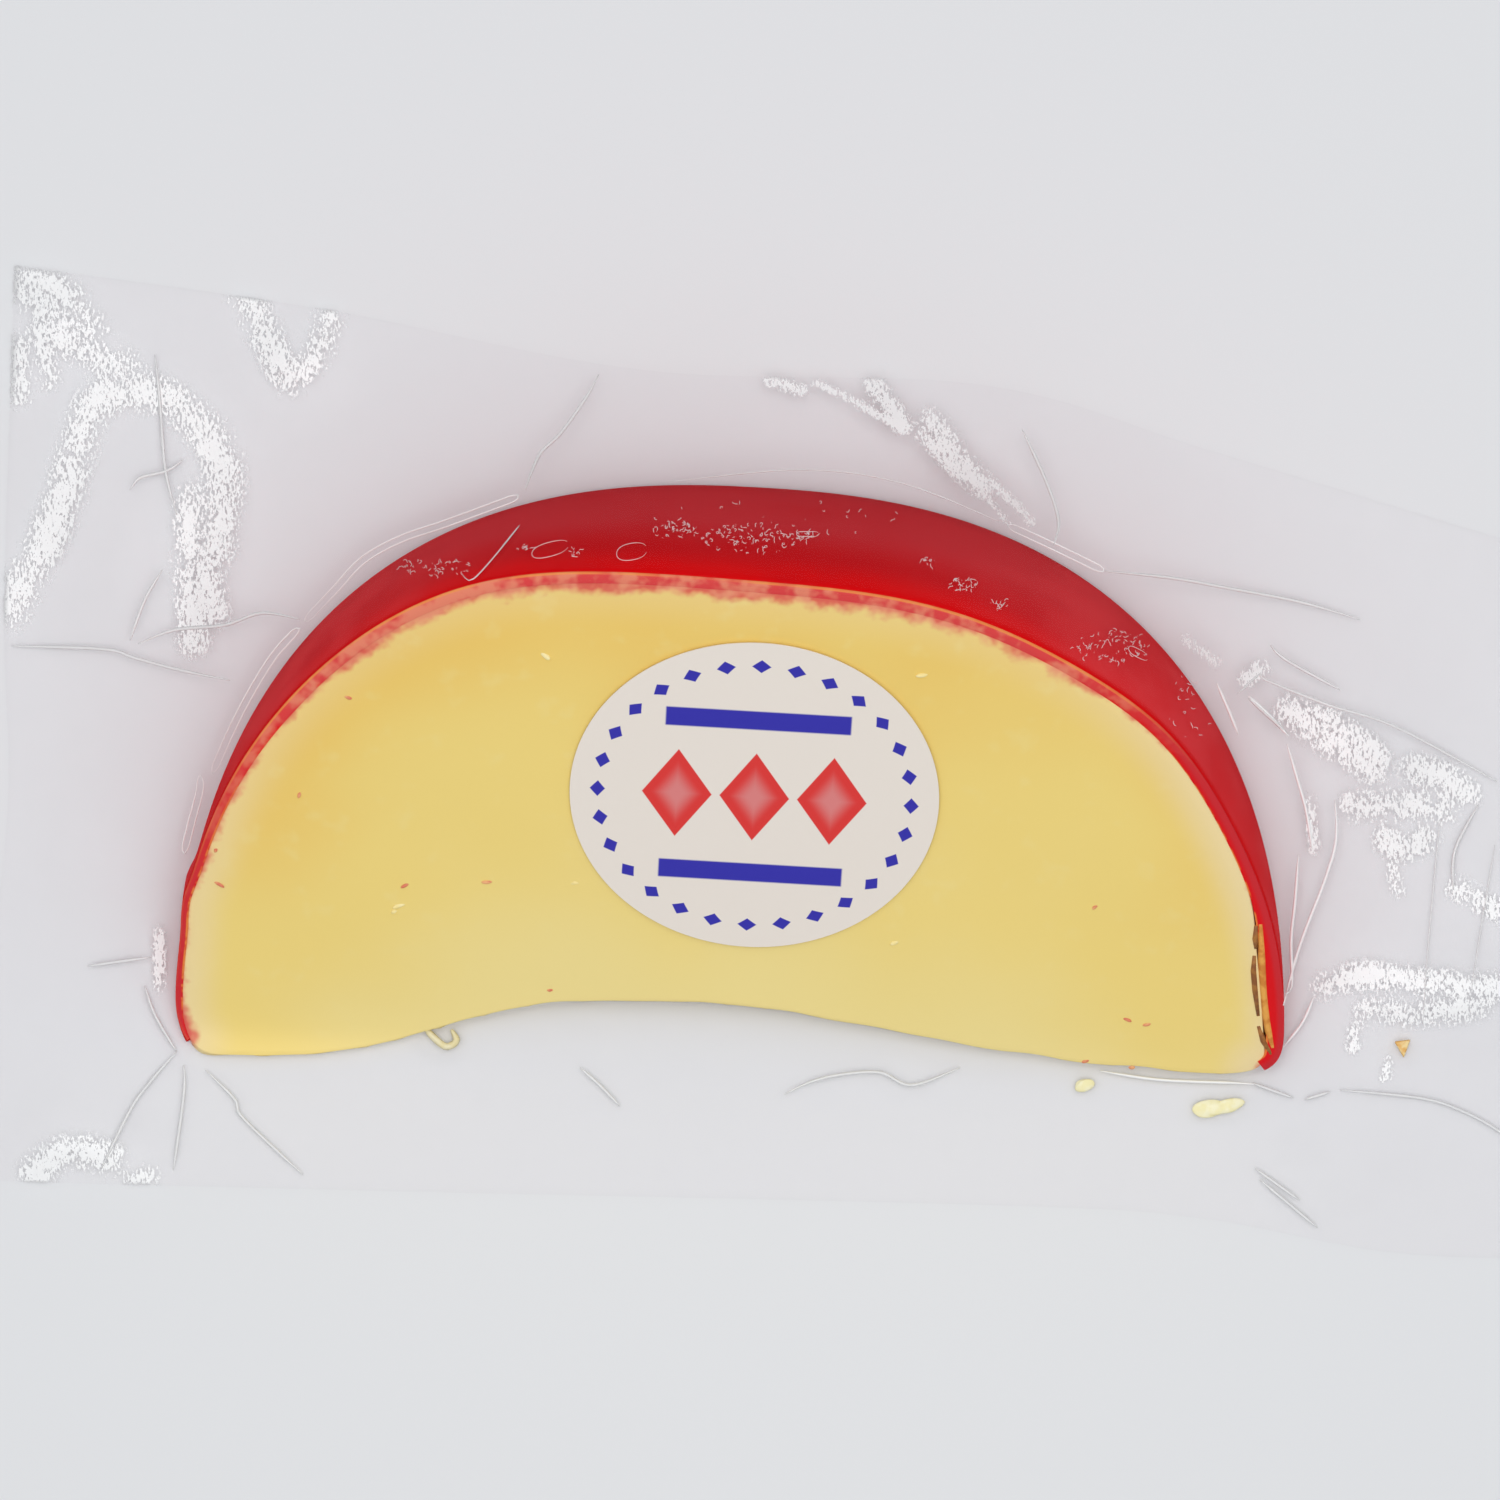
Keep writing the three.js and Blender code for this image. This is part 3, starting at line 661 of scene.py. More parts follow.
RIND_CRUMB_RADIUS, RIND_CRUMB_THICKNESS, RIND_CRUMB_ROUNDING = 1.45 * MM, 0.7 * MM, 0.18 * MM
RIND_CRUMB_PLACE = (72.4 * MM, -35.5 * MM, 0.9 * MM)
RIND_CRUMB_TURN = -0.95
bpy.ops.object.select_all(action="DESELECT")
bpy.ops.mesh.primitive_cylinder_add(
    vertices=3, radius=RIND_CRUMB_RADIUS, depth=RIND_CRUMB_THICKNESS, rotation=(0, 0, RIND_CRUMB_TURN),
)
rind_crumb = name_piece("rind_crumb")
bpy.ops.object.transform_apply(location=False, rotation=True, scale=False)
edit_whole()
bpy.ops.transform.resize(value=(0.8, 1.0, 1.0), center_override=(0, 0, 0))
bpy.ops.transform.translate(value=RIND_CRUMB_PLACE)
bpy.ops.mesh.bevel(offset=RIND_CRUMB_ROUNDING, segments=3)
bpy.ops.object.mode_set(mode="OBJECT")
bpy.ops.object.shade_smooth_by_angle(angle=math.radians(40))
dress_crumb(rind_crumb, "orange crumb", (0.86, 0.66, 0.30, 1), (0.76, 0.42, 0.10, 1))

CURL_LINE = ((-49.8, -33.0), (-48.8, -34.2), (-47.1, -35.5), (-45.8, -34.8), (-46.4, -33.4))
CURL_HEIGHT, CURL_RADIUS = 1.1, 0.45
curl = draw_tubes("paste_curl", [[(x, y, CURL_HEIGHT) for x, y in draw_edge(CURL_LINE)]], CURL_RADIUS)
dress_crumb(curl, "curl paste", (0.84, 0.77, 0.50, 1), (0.80, 0.70, 0.38, 1))

SPECKS = (
    (-75.6, -15.2, 0.8, -0.6),
    (-65.4, -3.9, 0.6, 1.3),
    (-52.2, -15.4, 0.6, 0.5),
    (-42.0, -15.0, 0.7, 0.1),
    (-34.1, -28.5, 0.35, 0.0),
    (34.0, -18.1, 0.4, 0.8),
    (38.0, -32.2, 0.6, -0.4),
    (40.5, -32.8, 0.5, 0.2),
    (32.8, -37.4, 0.5, 0.3),
    (38.6, -38.2, 0.4, 0.0),
    (-59.4, 8.1, 0.5, -0.5),
    (-75.9, -11.0, 0.35, 1.4),
)
wax_specks = strew_lumps("wax_specks", SPECKS, 0.22, 0.16, 0.12, 0)
NICKS = (
    (-52.9, -17.9, 0.9, 0.4),
    (-53.6, -18.6, 0.5, 0.9),
    (12.4, 10.9, 0.8, 0.2),
    (-34.8, 13.4, 0.9, -0.7),
    (-30.9, -15.0, 0.6, 0.3),
    (9.0, -22.5, 0.7, 0.5),
)
paste_nicks = strew_lumps("paste_nicks", NICKS, 0.3, 0.18, 0.14, 30)
dress_crumb(paste_nicks, "nicked paste", (0.90, 0.78, 0.40, 1), (0.89, 0.73, 0.30, 1))
dress_crumb(wax_specks, "smeared wax", (0.68, 0.19, 0.10, 1), (0.80, 0.40, 0.18, 1))

# Pouch
# A clear vacuum pouch of two webs of film, sealed to each other round the edge. The vacuum draws the
# webs on to the cheese, and together in a wavy margin round it. Its right end has the machine's seal.
FILM_OFFSET = 0.25
FILM_STEPS = 512
MARGIN_TOP = 0.5
MARGIN_STEPS, MARGIN_CROWDING, RIPPLE_CLEARANCE = 60, 1.15, 3.0
WEB_GAP = 0.2
ROOT_HEIGHT_SHARE, ROOT_LEAST = 0.33, 0.9
FILLET_SHARE, FILLET_REACH = 0.3, 2.2
DROOP_REACH, DROOP_POWER = 12.5, 1.5
FILM_RIM = 0.85
TOP_EDGE = ((-101, 62), (-62, 56.5), (-22, 48.8), (20, 47), (48, 39), (84.5, 28), (104, 22.5))
RIGHT_EDGE = ((104, 22.5), (101.2, -15), (97.5, -62))
BOTTOM_EDGE = ((97.5, -62), (72, -61.4), (47, -57), (22, -55.4), (-59, -53.5), (-103.5, -52.3))
LEFT_EDGE = ((-103.5, -52.3), (-104, -30), (-101.8, -4), (-102.3, 20), (-101, 62))
SWELL_SHARE = 0.75
SWELLS = (
    (-87, 27, 8, 13, 2.6),
    (-96, 55, 7, 5, 1.4),
    (-66, 50, 7, 5, 1.2),
    (-90, -12, 9, 12, 0.9),
    (-93, -47, 9, 7, 1.8),
    (14, 42, 16, 6, 1.6),
    (66, 3, 9, 8, 2.4),
    (78, -29, 14, 6, 2.2),
    (64, -50, 8, 6, 1.2),
    (98, -18, 9, 20, 1.6),
)


def pouch_edge(middle, ring):
    """Where rays from the middle through each point of a ring meet the pouch's edge."""
    line = np.vstack([draw_edge(e)[:-1] for e in (TOP_EDGE, RIGHT_EDGE, BOTTOM_EDGE, LEFT_EDGE)])
    turn = np.arctan2(*(line - middle).T[::-1])
    order = np.argsort(turn)
    turn, line = turn[order], line[order]
    turn = np.concatenate([[turn[-1] - 2 * math.pi], turn, [turn[0] + 2 * math.pi]])
    line = np.vstack([line[-1:], line, line[:1]])
    wanted = np.arctan2(*(ring - middle).T[::-1])
    met = np.column_stack([np.interp(wanted, turn, line[:, i]) for i in range(2)])
    for corner in (TOP_EDGE[0], RIGHT_EDGE[0], BOTTOM_EDGE[0], LEFT_EDGE[0]):
        corner_turn = math.atan2(corner[1] - middle[1], corner[0] - middle[0])
        met[np.argmax(np.cos(wanted - corner_turn))] = corner
    return met


# The webs are finely wrinkled where they were pressed together, and there the film is partly painted white,
# a painted highlight for their glints. Each patch is a width and a line.
CRINKLES = (
    (1.9, ((-101.0, 60.9), (-97.2, 55.9), (-93.5, 52.1), (-87.2, 49.6))),
    (1.7, ((-99.4, 60.4), (-94.6, 58.6), (-91.6, 54.4))),
    (1.3, ((-100.4, 52.1), (-100.1, 45.9))),
    (1.2, ((-97.9, 53.4), (-96.6, 47.8))),
    (1.8, ((-72.2, 58.1), (-66.6, 47.8))),
    (1.4, ((-66.6, 47.8), (-63.8, 49.5), (-61.6, 55.9))),
    (2.2, ((-101.6, 19.0), (-95.4, 31.5), (-93.5, 38.4), (-90.4, 45.2), (-84.1, 46.2))),
    (2.2, ((-82.2, 45.9), (-77.9, 42.1), (-75.1, 37.8), (-75.1, 29.0), (-77.2, 24.0), (-76.6, 19.0))),
    (1.8, ((-78.9, 32.8), (-79.1, 25.2), (-78.5, 15.2))),
    (0.8, ((-6.4, 47.4), (-2.9, 46.4))),
    (0.5, ((-1.0, 47.2), (4.0, 44.8), (10.2, 41.3))),
    (1.1, ((6.2, 47.0), (8.2, 44.4), (9.6, 42.0))),
    (1.5, ((13.4, 42.4), (15.8, 38.6), (19.5, 34.4))),
    (0.8, ((12.4, 40.5), (17.0, 35.5))),
    (0.6, ((20.6, 35.0), (24.0, 31.8), (25.6, 29.8))),
    (0.4, ((20.2, 33.0), (22.6, 29.8))),
    (0.9, ((52.6, 10.4), (54.6, 11.6))),
    (1.7, ((58.0, 6.3), (62.6, 2.9), (68.8, -1.0))),
    (1.3, ((61.0, 6.2), (66.2, 3.2), (69.2, 0.6))),
    (1.6, ((73.6, -0.8), (77.4, -2.0), (80.6, -3.8))),
    (1.7, ((66.2, -5.6), (71.0, -5.2), (77.6, -6.0))),
    (1.6, ((70.4, -9.6), (72.6, -11.0), (75.2, -9.6))),
    (0.9, ((71.4, -13.4), (71.6, -16.0))),
    (0.6, ((60.6, -4.6), (61.1, -10.8))),
    (1.3, ((79.0, -15.6), (82.6, -17.6), (87.8, -19.6))),
    (1.5, ((62.4, -28.0), (67.6, -26.6), (74.2, -27.4), (84.4, -28.2))),
    (1.6, ((68.0, -31.2), (74.8, -31.2), (81.8, -30.4))),
    (0.8, ((66.4, -33.4), (66.2, -35.6))),
    (0.6, ((70.6, -37.6), (70.2, -39.4))),
    (1.9, ((-98.5, -51.0), (-94.1, -48.5), (-89.1, -49.8))),
    (1.2, ((-86.0, -52.2), (-84.1, -51.6))),
    (0.7, ((-82.9, -21.0), (-82.9, -27.9))),
    (0.6, ((45.0, 15.2), (48.6, 12.4))),
    (2.4, ((88.0, 8.0), (93.0, 0.0), (95.0, -8.0))),
)
RIPPLE_SLOPE, HILL_SHARE, HILL_SPREAD = 0.08, 0.6, 1.7


def crinkle_reach(flat):
    """How strongly flat points are crinkled, from 0 to 1, and the low ripple that goes with it."""
    strength = np.zeros(len(flat))
    ripple = np.zeros(len(flat))
    for wide, points in CRINKLES:
        line = draw_edge(points)
        near = np.full(len(flat), np.inf)
        side = np.zeros(len(flat))
        for start, end in zip(line[:-1], line[1:]):
            step = (end - start) / np.linalg.norm(end - start)
            off = flat - start
            along = np.clip(off @ step, 0, np.linalg.norm(end - start))
            distance = np.hypot(*(off - np.outer(along, step)).T)
            nearer = distance < near
            near[nearer] = distance[nearer]
            side[nearer] = (off @ np.array([-step[1], step[0]]))[nearer]
        strength = np.maximum(strength, np.exp(-((near / wide) ** 2)))
        ramp = side * np.exp(-(near**2) / (2 * wide**2))
        hill = HILL_SHARE * wide * np.exp(-(near**2) / (2 * (HILL_SPREAD * wide) ** 2))
        ripple += RIPPLE_SLOPE * (ramp + hill)
    return strength, ripple


film_shape = Wedge(FILM_STEPS, FILM_OFFSET, FILM_OFFSET, FILM_OFFSET)
root_height = np.maximum(ROOT_LEAST, ROOT_HEIGHT_SHARE * (film_shape.top - FILM_OFFSET))
root_ring = film_shape.side(root_height)

# The webs part round each loose crumb: place, half length, half width, turn and the upper web's height.
TENTS = (
    (32.6, -40.4, 1.2, 0.9, 0.2, 1.25),
    (49.4, -43.1, 3.4, 1.4, 0.15, 1.35),
    (72.4, -35.5, 1.6, 1.6, 0.0, 1.4),
    (-48.0, -34.2, 2.6, 2.0, -0.5, 1.75),
)
TENT_FLOOR, TENT_SPREAD = 0.3, 1.6


def tent_share(flat, tent):
    """1 over a crumb, fading to 0 round it."""
    x, y, long, wide, turn, _ = tent
    off = flat - (x, y)
    across = (off @ (math.cos(turn), math.sin(turn))) / long
    aside = (off @ (-math.sin(turn), math.cos(turn))) / wide
    return np.exp(-(((across**2 + aside**2) / TENT_SPREAD**2) ** 2))


def part_webs(flat, heights, upper):
    """A web's heights, lifted over the crumbs if it is the upper one, and kept under them if not."""
    for tent in TENTS:
        share = tent_share(flat, tent)
        if upper:
            heights = np.maximum(heights, tent[-1] * share)
        else:
            heights = np.minimum(heights, heights + (TENT_FLOOR - heights) * share)
    return heights


def margin_height(flat):
    """Height of the upper web over points of the margin, in plan."""
    distance, place = distance_to_ring(flat, root_ring[:, :2])
    height = np.interp(place, np.arange(FILM_STEPS + 1), np.append(root_height, root_height[0]))
    fillet = FILLET_SHARE * np.exp(-distance / FILLET_REACH)
    droop = (1 - FILLET_SHARE) * np.exp(-((distance / DROOP_REACH) ** DROOP_POWER))
    free = 1 - np.exp(-((distance / DROOP_REACH) ** 2))
    swell = sum(high * np.exp(-(((flat[:, 0] - x) / wide) ** 2) - ((flat[:, 1] - y) / long) ** 2)
                for x, y, wide, long, high in SWELLS)
    clear = 1 - np.exp(-((distance / RIPPLE_CLEARANCE) ** 2))
    drawn = MARGIN_TOP + (height - MARGIN_TOP) * (fillet + droop)
    return drawn + SWELL_SHARE * free * swell + clear * crinkle_reach(flat)[1]


pack_middle = in_pack(RING_MIDDLE[:1], RING_MIDDLE[1:], 0)[0, :2]
edge_ring = pouch_edge(pack_middle, root_ring[:, :2])
margin_shares = np.linspace(0, 1, MARGIN_STEPS + 1)[1:] ** MARGIN_CROWDING
margin_rings = []
for share in margin_shares:
    flat = root_ring[:, :2] + (edge_ring - root_ring[:, :2]) * share
    margin_rings.append(np.column_stack([flat, margin_height(flat)]))
under_rings = []
for ring in margin_rings[::-2]:
    heights = part_webs(ring[:, :2], ring[:, 2] - WEB_GAP, False)
    under_rings.append(np.column_stack([ring[:, :2], heights]))
for ring in margin_rings:
    ring[:, 2] = part_webs(ring[:, :2], ring[:, 2], True)
film_rings = [film_shape.face(scale) for scale in (0.04, 0.2, 0.4, 0.58, 0.72, 0.83, 0.9, 0.95, 0.98)]
film_rings += film_shape.rim(FILM_RIM, 6)
film_shoulder = film_shape.top - np.minimum(FILM_RIM, ROUNDED_AT_MOST * film_shape.top)
film_rings += film_shape.wall(film_shoulder, root_height, 18)
film_rings += margin_rings + under_rings
film_rings += film_shape.wall(root_height - WEB_GAP + 0.01, 0.3, 8)
film_rings += film_shape.base([1.0], 0.6, 0.0) + film_shape.base([0.8, 0.5, 0.1], 0.0, 0.0)
film = wrap_sheet("pouch_film", film_rings)


FREE_FROM, FREE_OVER = 0.3, 1.5


def free_share(points):
    """1 where the webs are free of the cheese, and 0 where they lie on it."""
    middle = root_ring[:, :2].mean(axis=0)
    turns = np.arctan2(*(root_ring[:, :2] - middle).T[::-1])
    order = np.argsort(turns)
    reach = np.hypot(*(root_ring[:, :2] - middle).T)[order]
    turn = np.arctan2(*(points[:, :2] - middle).T[::-1])
    limit = np.interp(turn, turns[order], reach, period=2 * math.pi)
    outside = np.hypot(*(points[:, :2] - middle).T) - limit
    return np.clip((outside - FREE_FROM) / FREE_OVER, 0, 1)


def film_normals(piece):
    """The direction that each vertex faces."""
    flat = np.empty(len(piece.data.vertices) * 3, np.float32)
    piece.data.vertex_normals.foreach_get("vector", flat)
    return flat.reshape(-1, 3)


film_points = points_of(film)
put_attribute(film, "free", free_share(film_points))
upwards = film_normals(film)[:, 2]
UPPER_WEB_SLOPE, UPRIGHT_SLOPE = 0.02, -0.1
on_upper_web = (upwards > UPPER_WEB_SLOPE) & (free_share(film_points) > 0.5)
put_attribute(film, "crinkle_glint", crinkle_reach(film_points[:, :2])[0] * on_upper_web)
put_attribute(film, "faces_up", (upwards > UPRIGHT_SLOPE).astype(float))

# The film's gloss is held down where it lies flat, so that it shows on the swells and folds.
FILM_IOR = 1.42
GLOSS_ON_CHEESE, GLOSS_IN_MARGIN, FLAT_GLOSS_LOSS = 0.006, 0.055, 0.024
film_finish, tree = new_material("clear pouch film")
see_through = node(tree, "BsdfTransparent", {"Color": (0.995, 0.991, 0.993, 1)})
waves = node(tree, "Bump", {"Height": noise(tree, 330, 0), "Distance": 0.0003, "Strength": 0.35})
gloss = node(tree, "BsdfGlossy", {"Roughness": 0.12, "Normal": waves})
shine = node(tree, "Fresnel", {"IOR": FILM_IOR}).outputs[0]
free = attribute(tree, "free")
shine = maths(tree, "SUBTRACT", shine, FLAT_GLOSS_LOSS)
shine = times(tree, shine, spread(tree, free, 0.0, 1.0, 0.3, 0.8))
shine = maths(tree, "MINIMUM", shine, spread(tree, free, 0.0, 1.0, GLOSS_ON_CHEESE, GLOSS_IN_MARGIN))
smooth_film = mix_shaders(tree, shine, see_through, gloss)
place = node(tree, "TexCoord").outputs["Object"]
streaked = node(tree, "Mapping", {"Vector": place, "Rotation": (0, 0, 0.9), "Scale": (1, 0.45, 1)})
streaks = node(tree, "TexNoise", {
    "Vector": streaked.outputs[0], "Scale": 3200, "Detail": 2, "Roughness": 0.75,
})
grains = centred(tree, streaks.outputs["Fac"], 4.4)
broken = centred(tree, noise(tree, 170, 3, 0.65), 2.0)
crinkle_glint = attribute(tree, "crinkle_glint")
reach = maths(tree, "ADD", crinkle_glint, maths(tree, "ADD", grains, broken))
glitter = spread(tree, reach, 0.38, 0.72, 0.0, 1.0)
# In the patches the film turns to rough gloss and mostly white diffuse. The white diffuse is a painted
# highlight that stands in for the glints of the wrinkles.
frost = node(tree, "BsdfGlossy", {"Roughness": 0.5})
painted_glint_white = node(tree, "BsdfDiffuse", {"Color": (1.0, 1.0, 1.0, 1)})
milky = node(tree, "BsdfTranslucent", {"Color": (0.95, 0.95, 0.95, 1)})
bright = mix_shaders(tree, 0.8, frost, painted_glint_white)
frosted = mix_shaders(tree, 0.22, bright, milky)
crumpled = mix_shaders(tree, glitter, smooth_film, frosted)
in_patch = spread(tree, crinkle_glint, 0.05, 0.35)
patched = mix_shaders(tree, in_patch, smooth_film, crumpled)
faces_up = attribute(tree, "faces_up")
both_webs = mix_shaders(tree, faces_up, see_through, patched)
finish_material(tree, both_webs)
film.data.materials.append(film_finish)
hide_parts("vacuum_pouch")
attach(film, "root")

# Creases
# Sharp folds in the film, and the thin channel of air that the film leaves along the wax. Each is a
# fine raised line on the upper web, partly painted white as a painted highlight along it.
film_tree = mathutils.bvhtree.BVHTree.FromObject(film, bpy.context.evaluated_depsgraph_get())


def on_film(x, y, lift):
    """The point of the film that is seen over a place on the table, in millimetres."""
    target = mathutils.Vector((x, y, 0.0))
    start = mathutils.Vector(CAMERA_PLACE)
    way = (target - start).normalized()
    hit, normal, _, _ = film_tree.ray_cast(start * MM, way)
    return np.array(hit) / MM + np.array(normal) * lift


def trace_line(points, lift, spacing=0.6):
    """A smooth line through a few places, evenly spaced, and laid on the film."""
    line = draw_edge(points)
    lengths = lengths_along(line)
    wanted = np.linspace(0, lengths[-1], max(3, int(lengths[-1] / spacing) + 1))
    return [on_film(*(np.interp(w, lengths, line[:, i]) for i in range(2)), lift) for w in wanted]


CREASES = (
    ((-28.0, 48.4), (-29.8, 45.2), (-32.9, 40.9), (-35.4, 38.4), (-37.2, 34.0)),
    ((24.9, 41.5), (27.8, 35.2), (29.4, 30.2), (28.8, 27.1)),
    ((35.2, 23.8), (43.4, 23.0), (50.2, 21.8), (59.6, 20.0), (67.1, 17.8)),
    ((55.9, 14.6), (57.8, 12.8), (64.6, 9.0)),
    ((51.8, 8.5), (54.5, 10.9), (55.4, 10.2), (63.2, 7.1), (71.5, 4.4), (84.2, -2.4)),
    ((53.1, 8.0), (58.1, 3.5)),
    ((81.9, -5.4), (79.0, -11.0), (78.8, -16.0)),
    ((53.6, -40.1), (58.8, -42.0)),
    ((60.2, -42.2), (63.4, -41.2)),
    ((64.6, -41.0), (74.6, -42.0), (79.6, -43.5), (84.6, -46.2), (90.0, -50.5)),
    ((54.0, -50.8), (59.6, -54.8)),
    ((54.6, -52.2), (61.8, -58.2)),
    ((-4.8, -41.5), (-1.6, -40.0), (2.1, -39.1), (7.1, -38.8), (11.1, -40.4), (17.1, -38.2)),
    ((-30.4, -38.2), (-27.9, -40.4), (-25.4, -43.0)),
    ((-80.8, -36.2), (-84.1, -40.0), (-86.6, -43.5), (-90.2, -50.8)),
    ((-79.9, -37.9), (-79.9, -41.6), (-81.2, -51.0)),
    ((-77.2, -38.5), (-73.5, -42.2), (-72.5, -44.5), (-65.0, -51.6)),
    ((-84.8, -27.9), (-83.5, -31.6), (-80.8, -36.2)),
    ((-91.9, -25.5), (-84.1, -24.4)),
    ((-85.6, 14.8), (-81.0, 16.5), (-74.8, 17.1), (-70.1, 18.6), (-65.4, 17.8)),
    ((-101.4, 14.5), (-89.8, 14.1), (-86.0, 13.0), (-80.4, 11.5), (-74.1, 10.2)),
    ((-83.5, 50.9), (-82.9, 45.2), (-82.2, 36.5), (-80.8, 30.9)),
    ((-86.6, 34.0), (-85.4, 35.5), (-82.0, 36.4), (-80.0, 37.8)),
    ((-82.6, 24.0), (-84.8, 20.2), (-86.6, 15.2)),
)
FINE_CREASES = (
    ((-45.1, 23.5), (-43.5, 23.0), (-38.0, 29.4)),
    ((-37.9, 29.6), (-40.4, 26.5)),
    ((-19.1, 35.0), (-2.9, 36.5), (9.6, 34.9), (22.1, 30.0)),
)
BRIGHT_CREASES = (
    ((53.2, 8.2), (55.4, 6.2), (58.2, 3.2)),
    ((49.2, 9.8), (50.6, 6.6), (51.9, 3.4)),
    ((58.0, 2.2), (59.3, -2.2), (60.4, -6.2), (61.1, -10.8)),
    ((59.4, -11.6), (59.0, -17.2), (58.5, -22.2), (58.6, -27.8), (57.8, -29.0)),
    ((64.0, -4.8), (64.1, -9.8), (62.7, -14.8), (59.6, -22.9), (57.5, -30.4)),
    ((57.5, -35.6), (59.9, -32.6), (61.3, -29.4)),
    ((34.6, -38.6), (42.0, -39.7), (51.4, -40.1), (54.1, -40.3)),
)
AIR_CHANNELS = (
    ((-77.9, -1.6), (-77.9, -3.6), (-78.9, -7.5), (-79.9, -11.5)),
    ((-76.3, -1.4), (-73.9, 4.0), (-71.4, 8.8), (-68.5, 13.4), (-65.4, 16.8)),
    ((-64.8, 17.5), (-61.0, 21.5), (-57.5, 25.2), (-52.9, 27.8), (-47.1, 29.8), (-37.9, 33.2)),
    ((23.0, 29.6), (28.4, 27.1), (35.2, 23.8)),
)
CHANNEL_HALF_WIDTH = 0.42


def channel_sides(points):
    """The two sides of a channel about a line, which meet in a rounded end."""
    line = draw_edge(points)
    step = np.gradient(line, axis=0)
    step /= np.linalg.norm(step, axis=1)[:, None]
    reach = lengths_along(line)
    from_end = np.minimum(reach, reach[-1] - reach)
    wide = CHANNEL_HALF_WIDTH * np.sqrt(np.clip(from_end, 0, 1))[:, None]
    away = np.column_stack([-step[:, 1], step[:, 0]]) * wide
    return np.vstack([line + away, (line - away)[-2::-1]])


SEAL_LINES = (
    ((77.1, -7.2), (75.6, -23.5), (75.0, -32.8)),
    ((84.0, -10.4), (81.8, -23.5), (80.9, -29.8)),
)
fold_finish, tree = new_material("folded film")
see_through = node(tree, "BsdfTransparent")
gloss = node(tree, "BsdfGlossy", {"Roughness": 0.2})
shine = node(tree, "Fresnel", {"IOR": 1.5}).outputs[0]
shine = maths(tree, "MINIMUM", times(tree, shine, 2.5), 0.3)
mixed = mix_shaders(tree, shine, see_through, gloss)
# Painted highlight: a white diffuse share makes the folds read as light lines.
painted_sheen = node(tree, "BsdfDiffuse", {"Color": (0.9, 0.9, 0.9, 1)})
with_painted_sheen = mix_shaders(tree, 0.6, mixed, painted_sheen)
finish_material(tree, with_painted_sheen)
bright_finish, tree = new_material("sharply folded film")
see_through = node(tree, "BsdfTransparent")
# Painted highlight: mostly white diffuse, for the brightest folds and the air channels.
painted_sheen = node(tree, "BsdfDiffuse", {"Color": (1.0, 1.0, 1.0, 1)})
with_painted_sheen = mix_shaders(tree, 0.9, see_through, painted_sheen)
finish_material(tree, with_painted_sheen)
CHANNEL_SIDES = [channel_sides(line) for line in AIR_CHANNELS]
for name, lines, lift, radius, finish in (
    ("film_creases", CREASES, 0.08, 0.22, fold_finish),
    ("fine_creases", FINE_CREASES, 0.03, 0.09, fold_finish),
    ("bright_creases", BRIGHT_CREASES, 0.06, 0.2, bright_finish),
    ("seal_lines", SEAL_LINES, 0.0, 0.1, fold_finish),
    ("air_channels", CHANNEL_SIDES, 0.05, 0.1, bright_finish),
):
    creases = draw_tubes(name, [trace_line(line, lift) for line in lines], radius)
    creases.data.materials.append(finish)
    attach(creases, "root")

# Air marks
# Whitish outlines on the wax, where the film isn't quite drawn on to it. Their pale colour is a painted
# highlight, the light caught along the edges of the air.
AIR_CLUSTERS = (
    (-48.5, 24.4, 4.4, 1.0, 16),
    (-18.5, 28.9, 3.1, 1.1, 16),
    (-9.1, 27.8, 6.2, 1.9, 34),
    (-1.9, 28.4, 1.5, 0.6, 6),
    (13.1, 25.0, 1.0, 0.5, 4),
    (17.6, 22.2, 1.6, 0.9, 12),
    (22.1, 19.5, 1.2, 0.8, 6),
    (36.1, 14.4, 4.8, 2.1, 26),
    (-37.4, 26.6, 1.0, 0.7, 3),
    (-30.9, 26.2, 0.9, 0.6, 3),
    (-4.0, 30.6, 20.0, 2.4, 9),
    (46.0, 7.0, 3.0, 4.0, 8),
)
AIR_RINGS = (
    (-34.1, 26.6, 2.3, 0.95, 0.25),
    (-23.9, 26.3, 1.9, 1.1, 0.15),
    (39.4, 13.6, 1.2, 0.6, -0.5),
    (-1.9, 28.5, 1.4, 0.35, 0.0),
)
MARKS_EACH, MARK_STEP = 3, 0.17
draw = np.random.default_rng(12)
marks = []
for x, y, wide, high, count in AIR_CLUSTERS:
    for _ in range(MARKS_EACH * count):
        reach, turn = math.sqrt(draw.uniform(0, 1)), draw.uniform(0, 2 * math.pi)
        at = np.array([x + wide * reach * math.cos(turn), y + high * reach * math.sin(turn)])
        heading, bend = draw.uniform(0, 2 * math.pi), draw.uniform(-1.3, 1.3)
        squiggle = [on_film(*at, 0.0)]
        for _ in range(draw.integers(1, 6)):
            heading += bend + draw.normal(0, 0.5)
            at = at + MARK_STEP * np.array([math.cos(heading), math.sin(heading)])
            squiggle.append(on_film(*at, 0.0))
        marks.append(squiggle)
for x, y, wide, high, lean in AIR_RINGS:
    ring = []
    for turn in np.linspace(0.4, 6.0, 40):
        flat = np.array([wide * math.cos(turn), high * math.sin(turn) + 0.05 * math.sin(3 * turn)])
        ring.append(on_film(x + flat[0], y + flat[1] + lean * flat[0], 0.0))
    marks.append(ring)
air_marks = draw_tubes("air_marks", marks, 0.04)
marks_glint_finish, tree = new_material("air under the film")
see_through = node(tree, "BsdfTransparent")
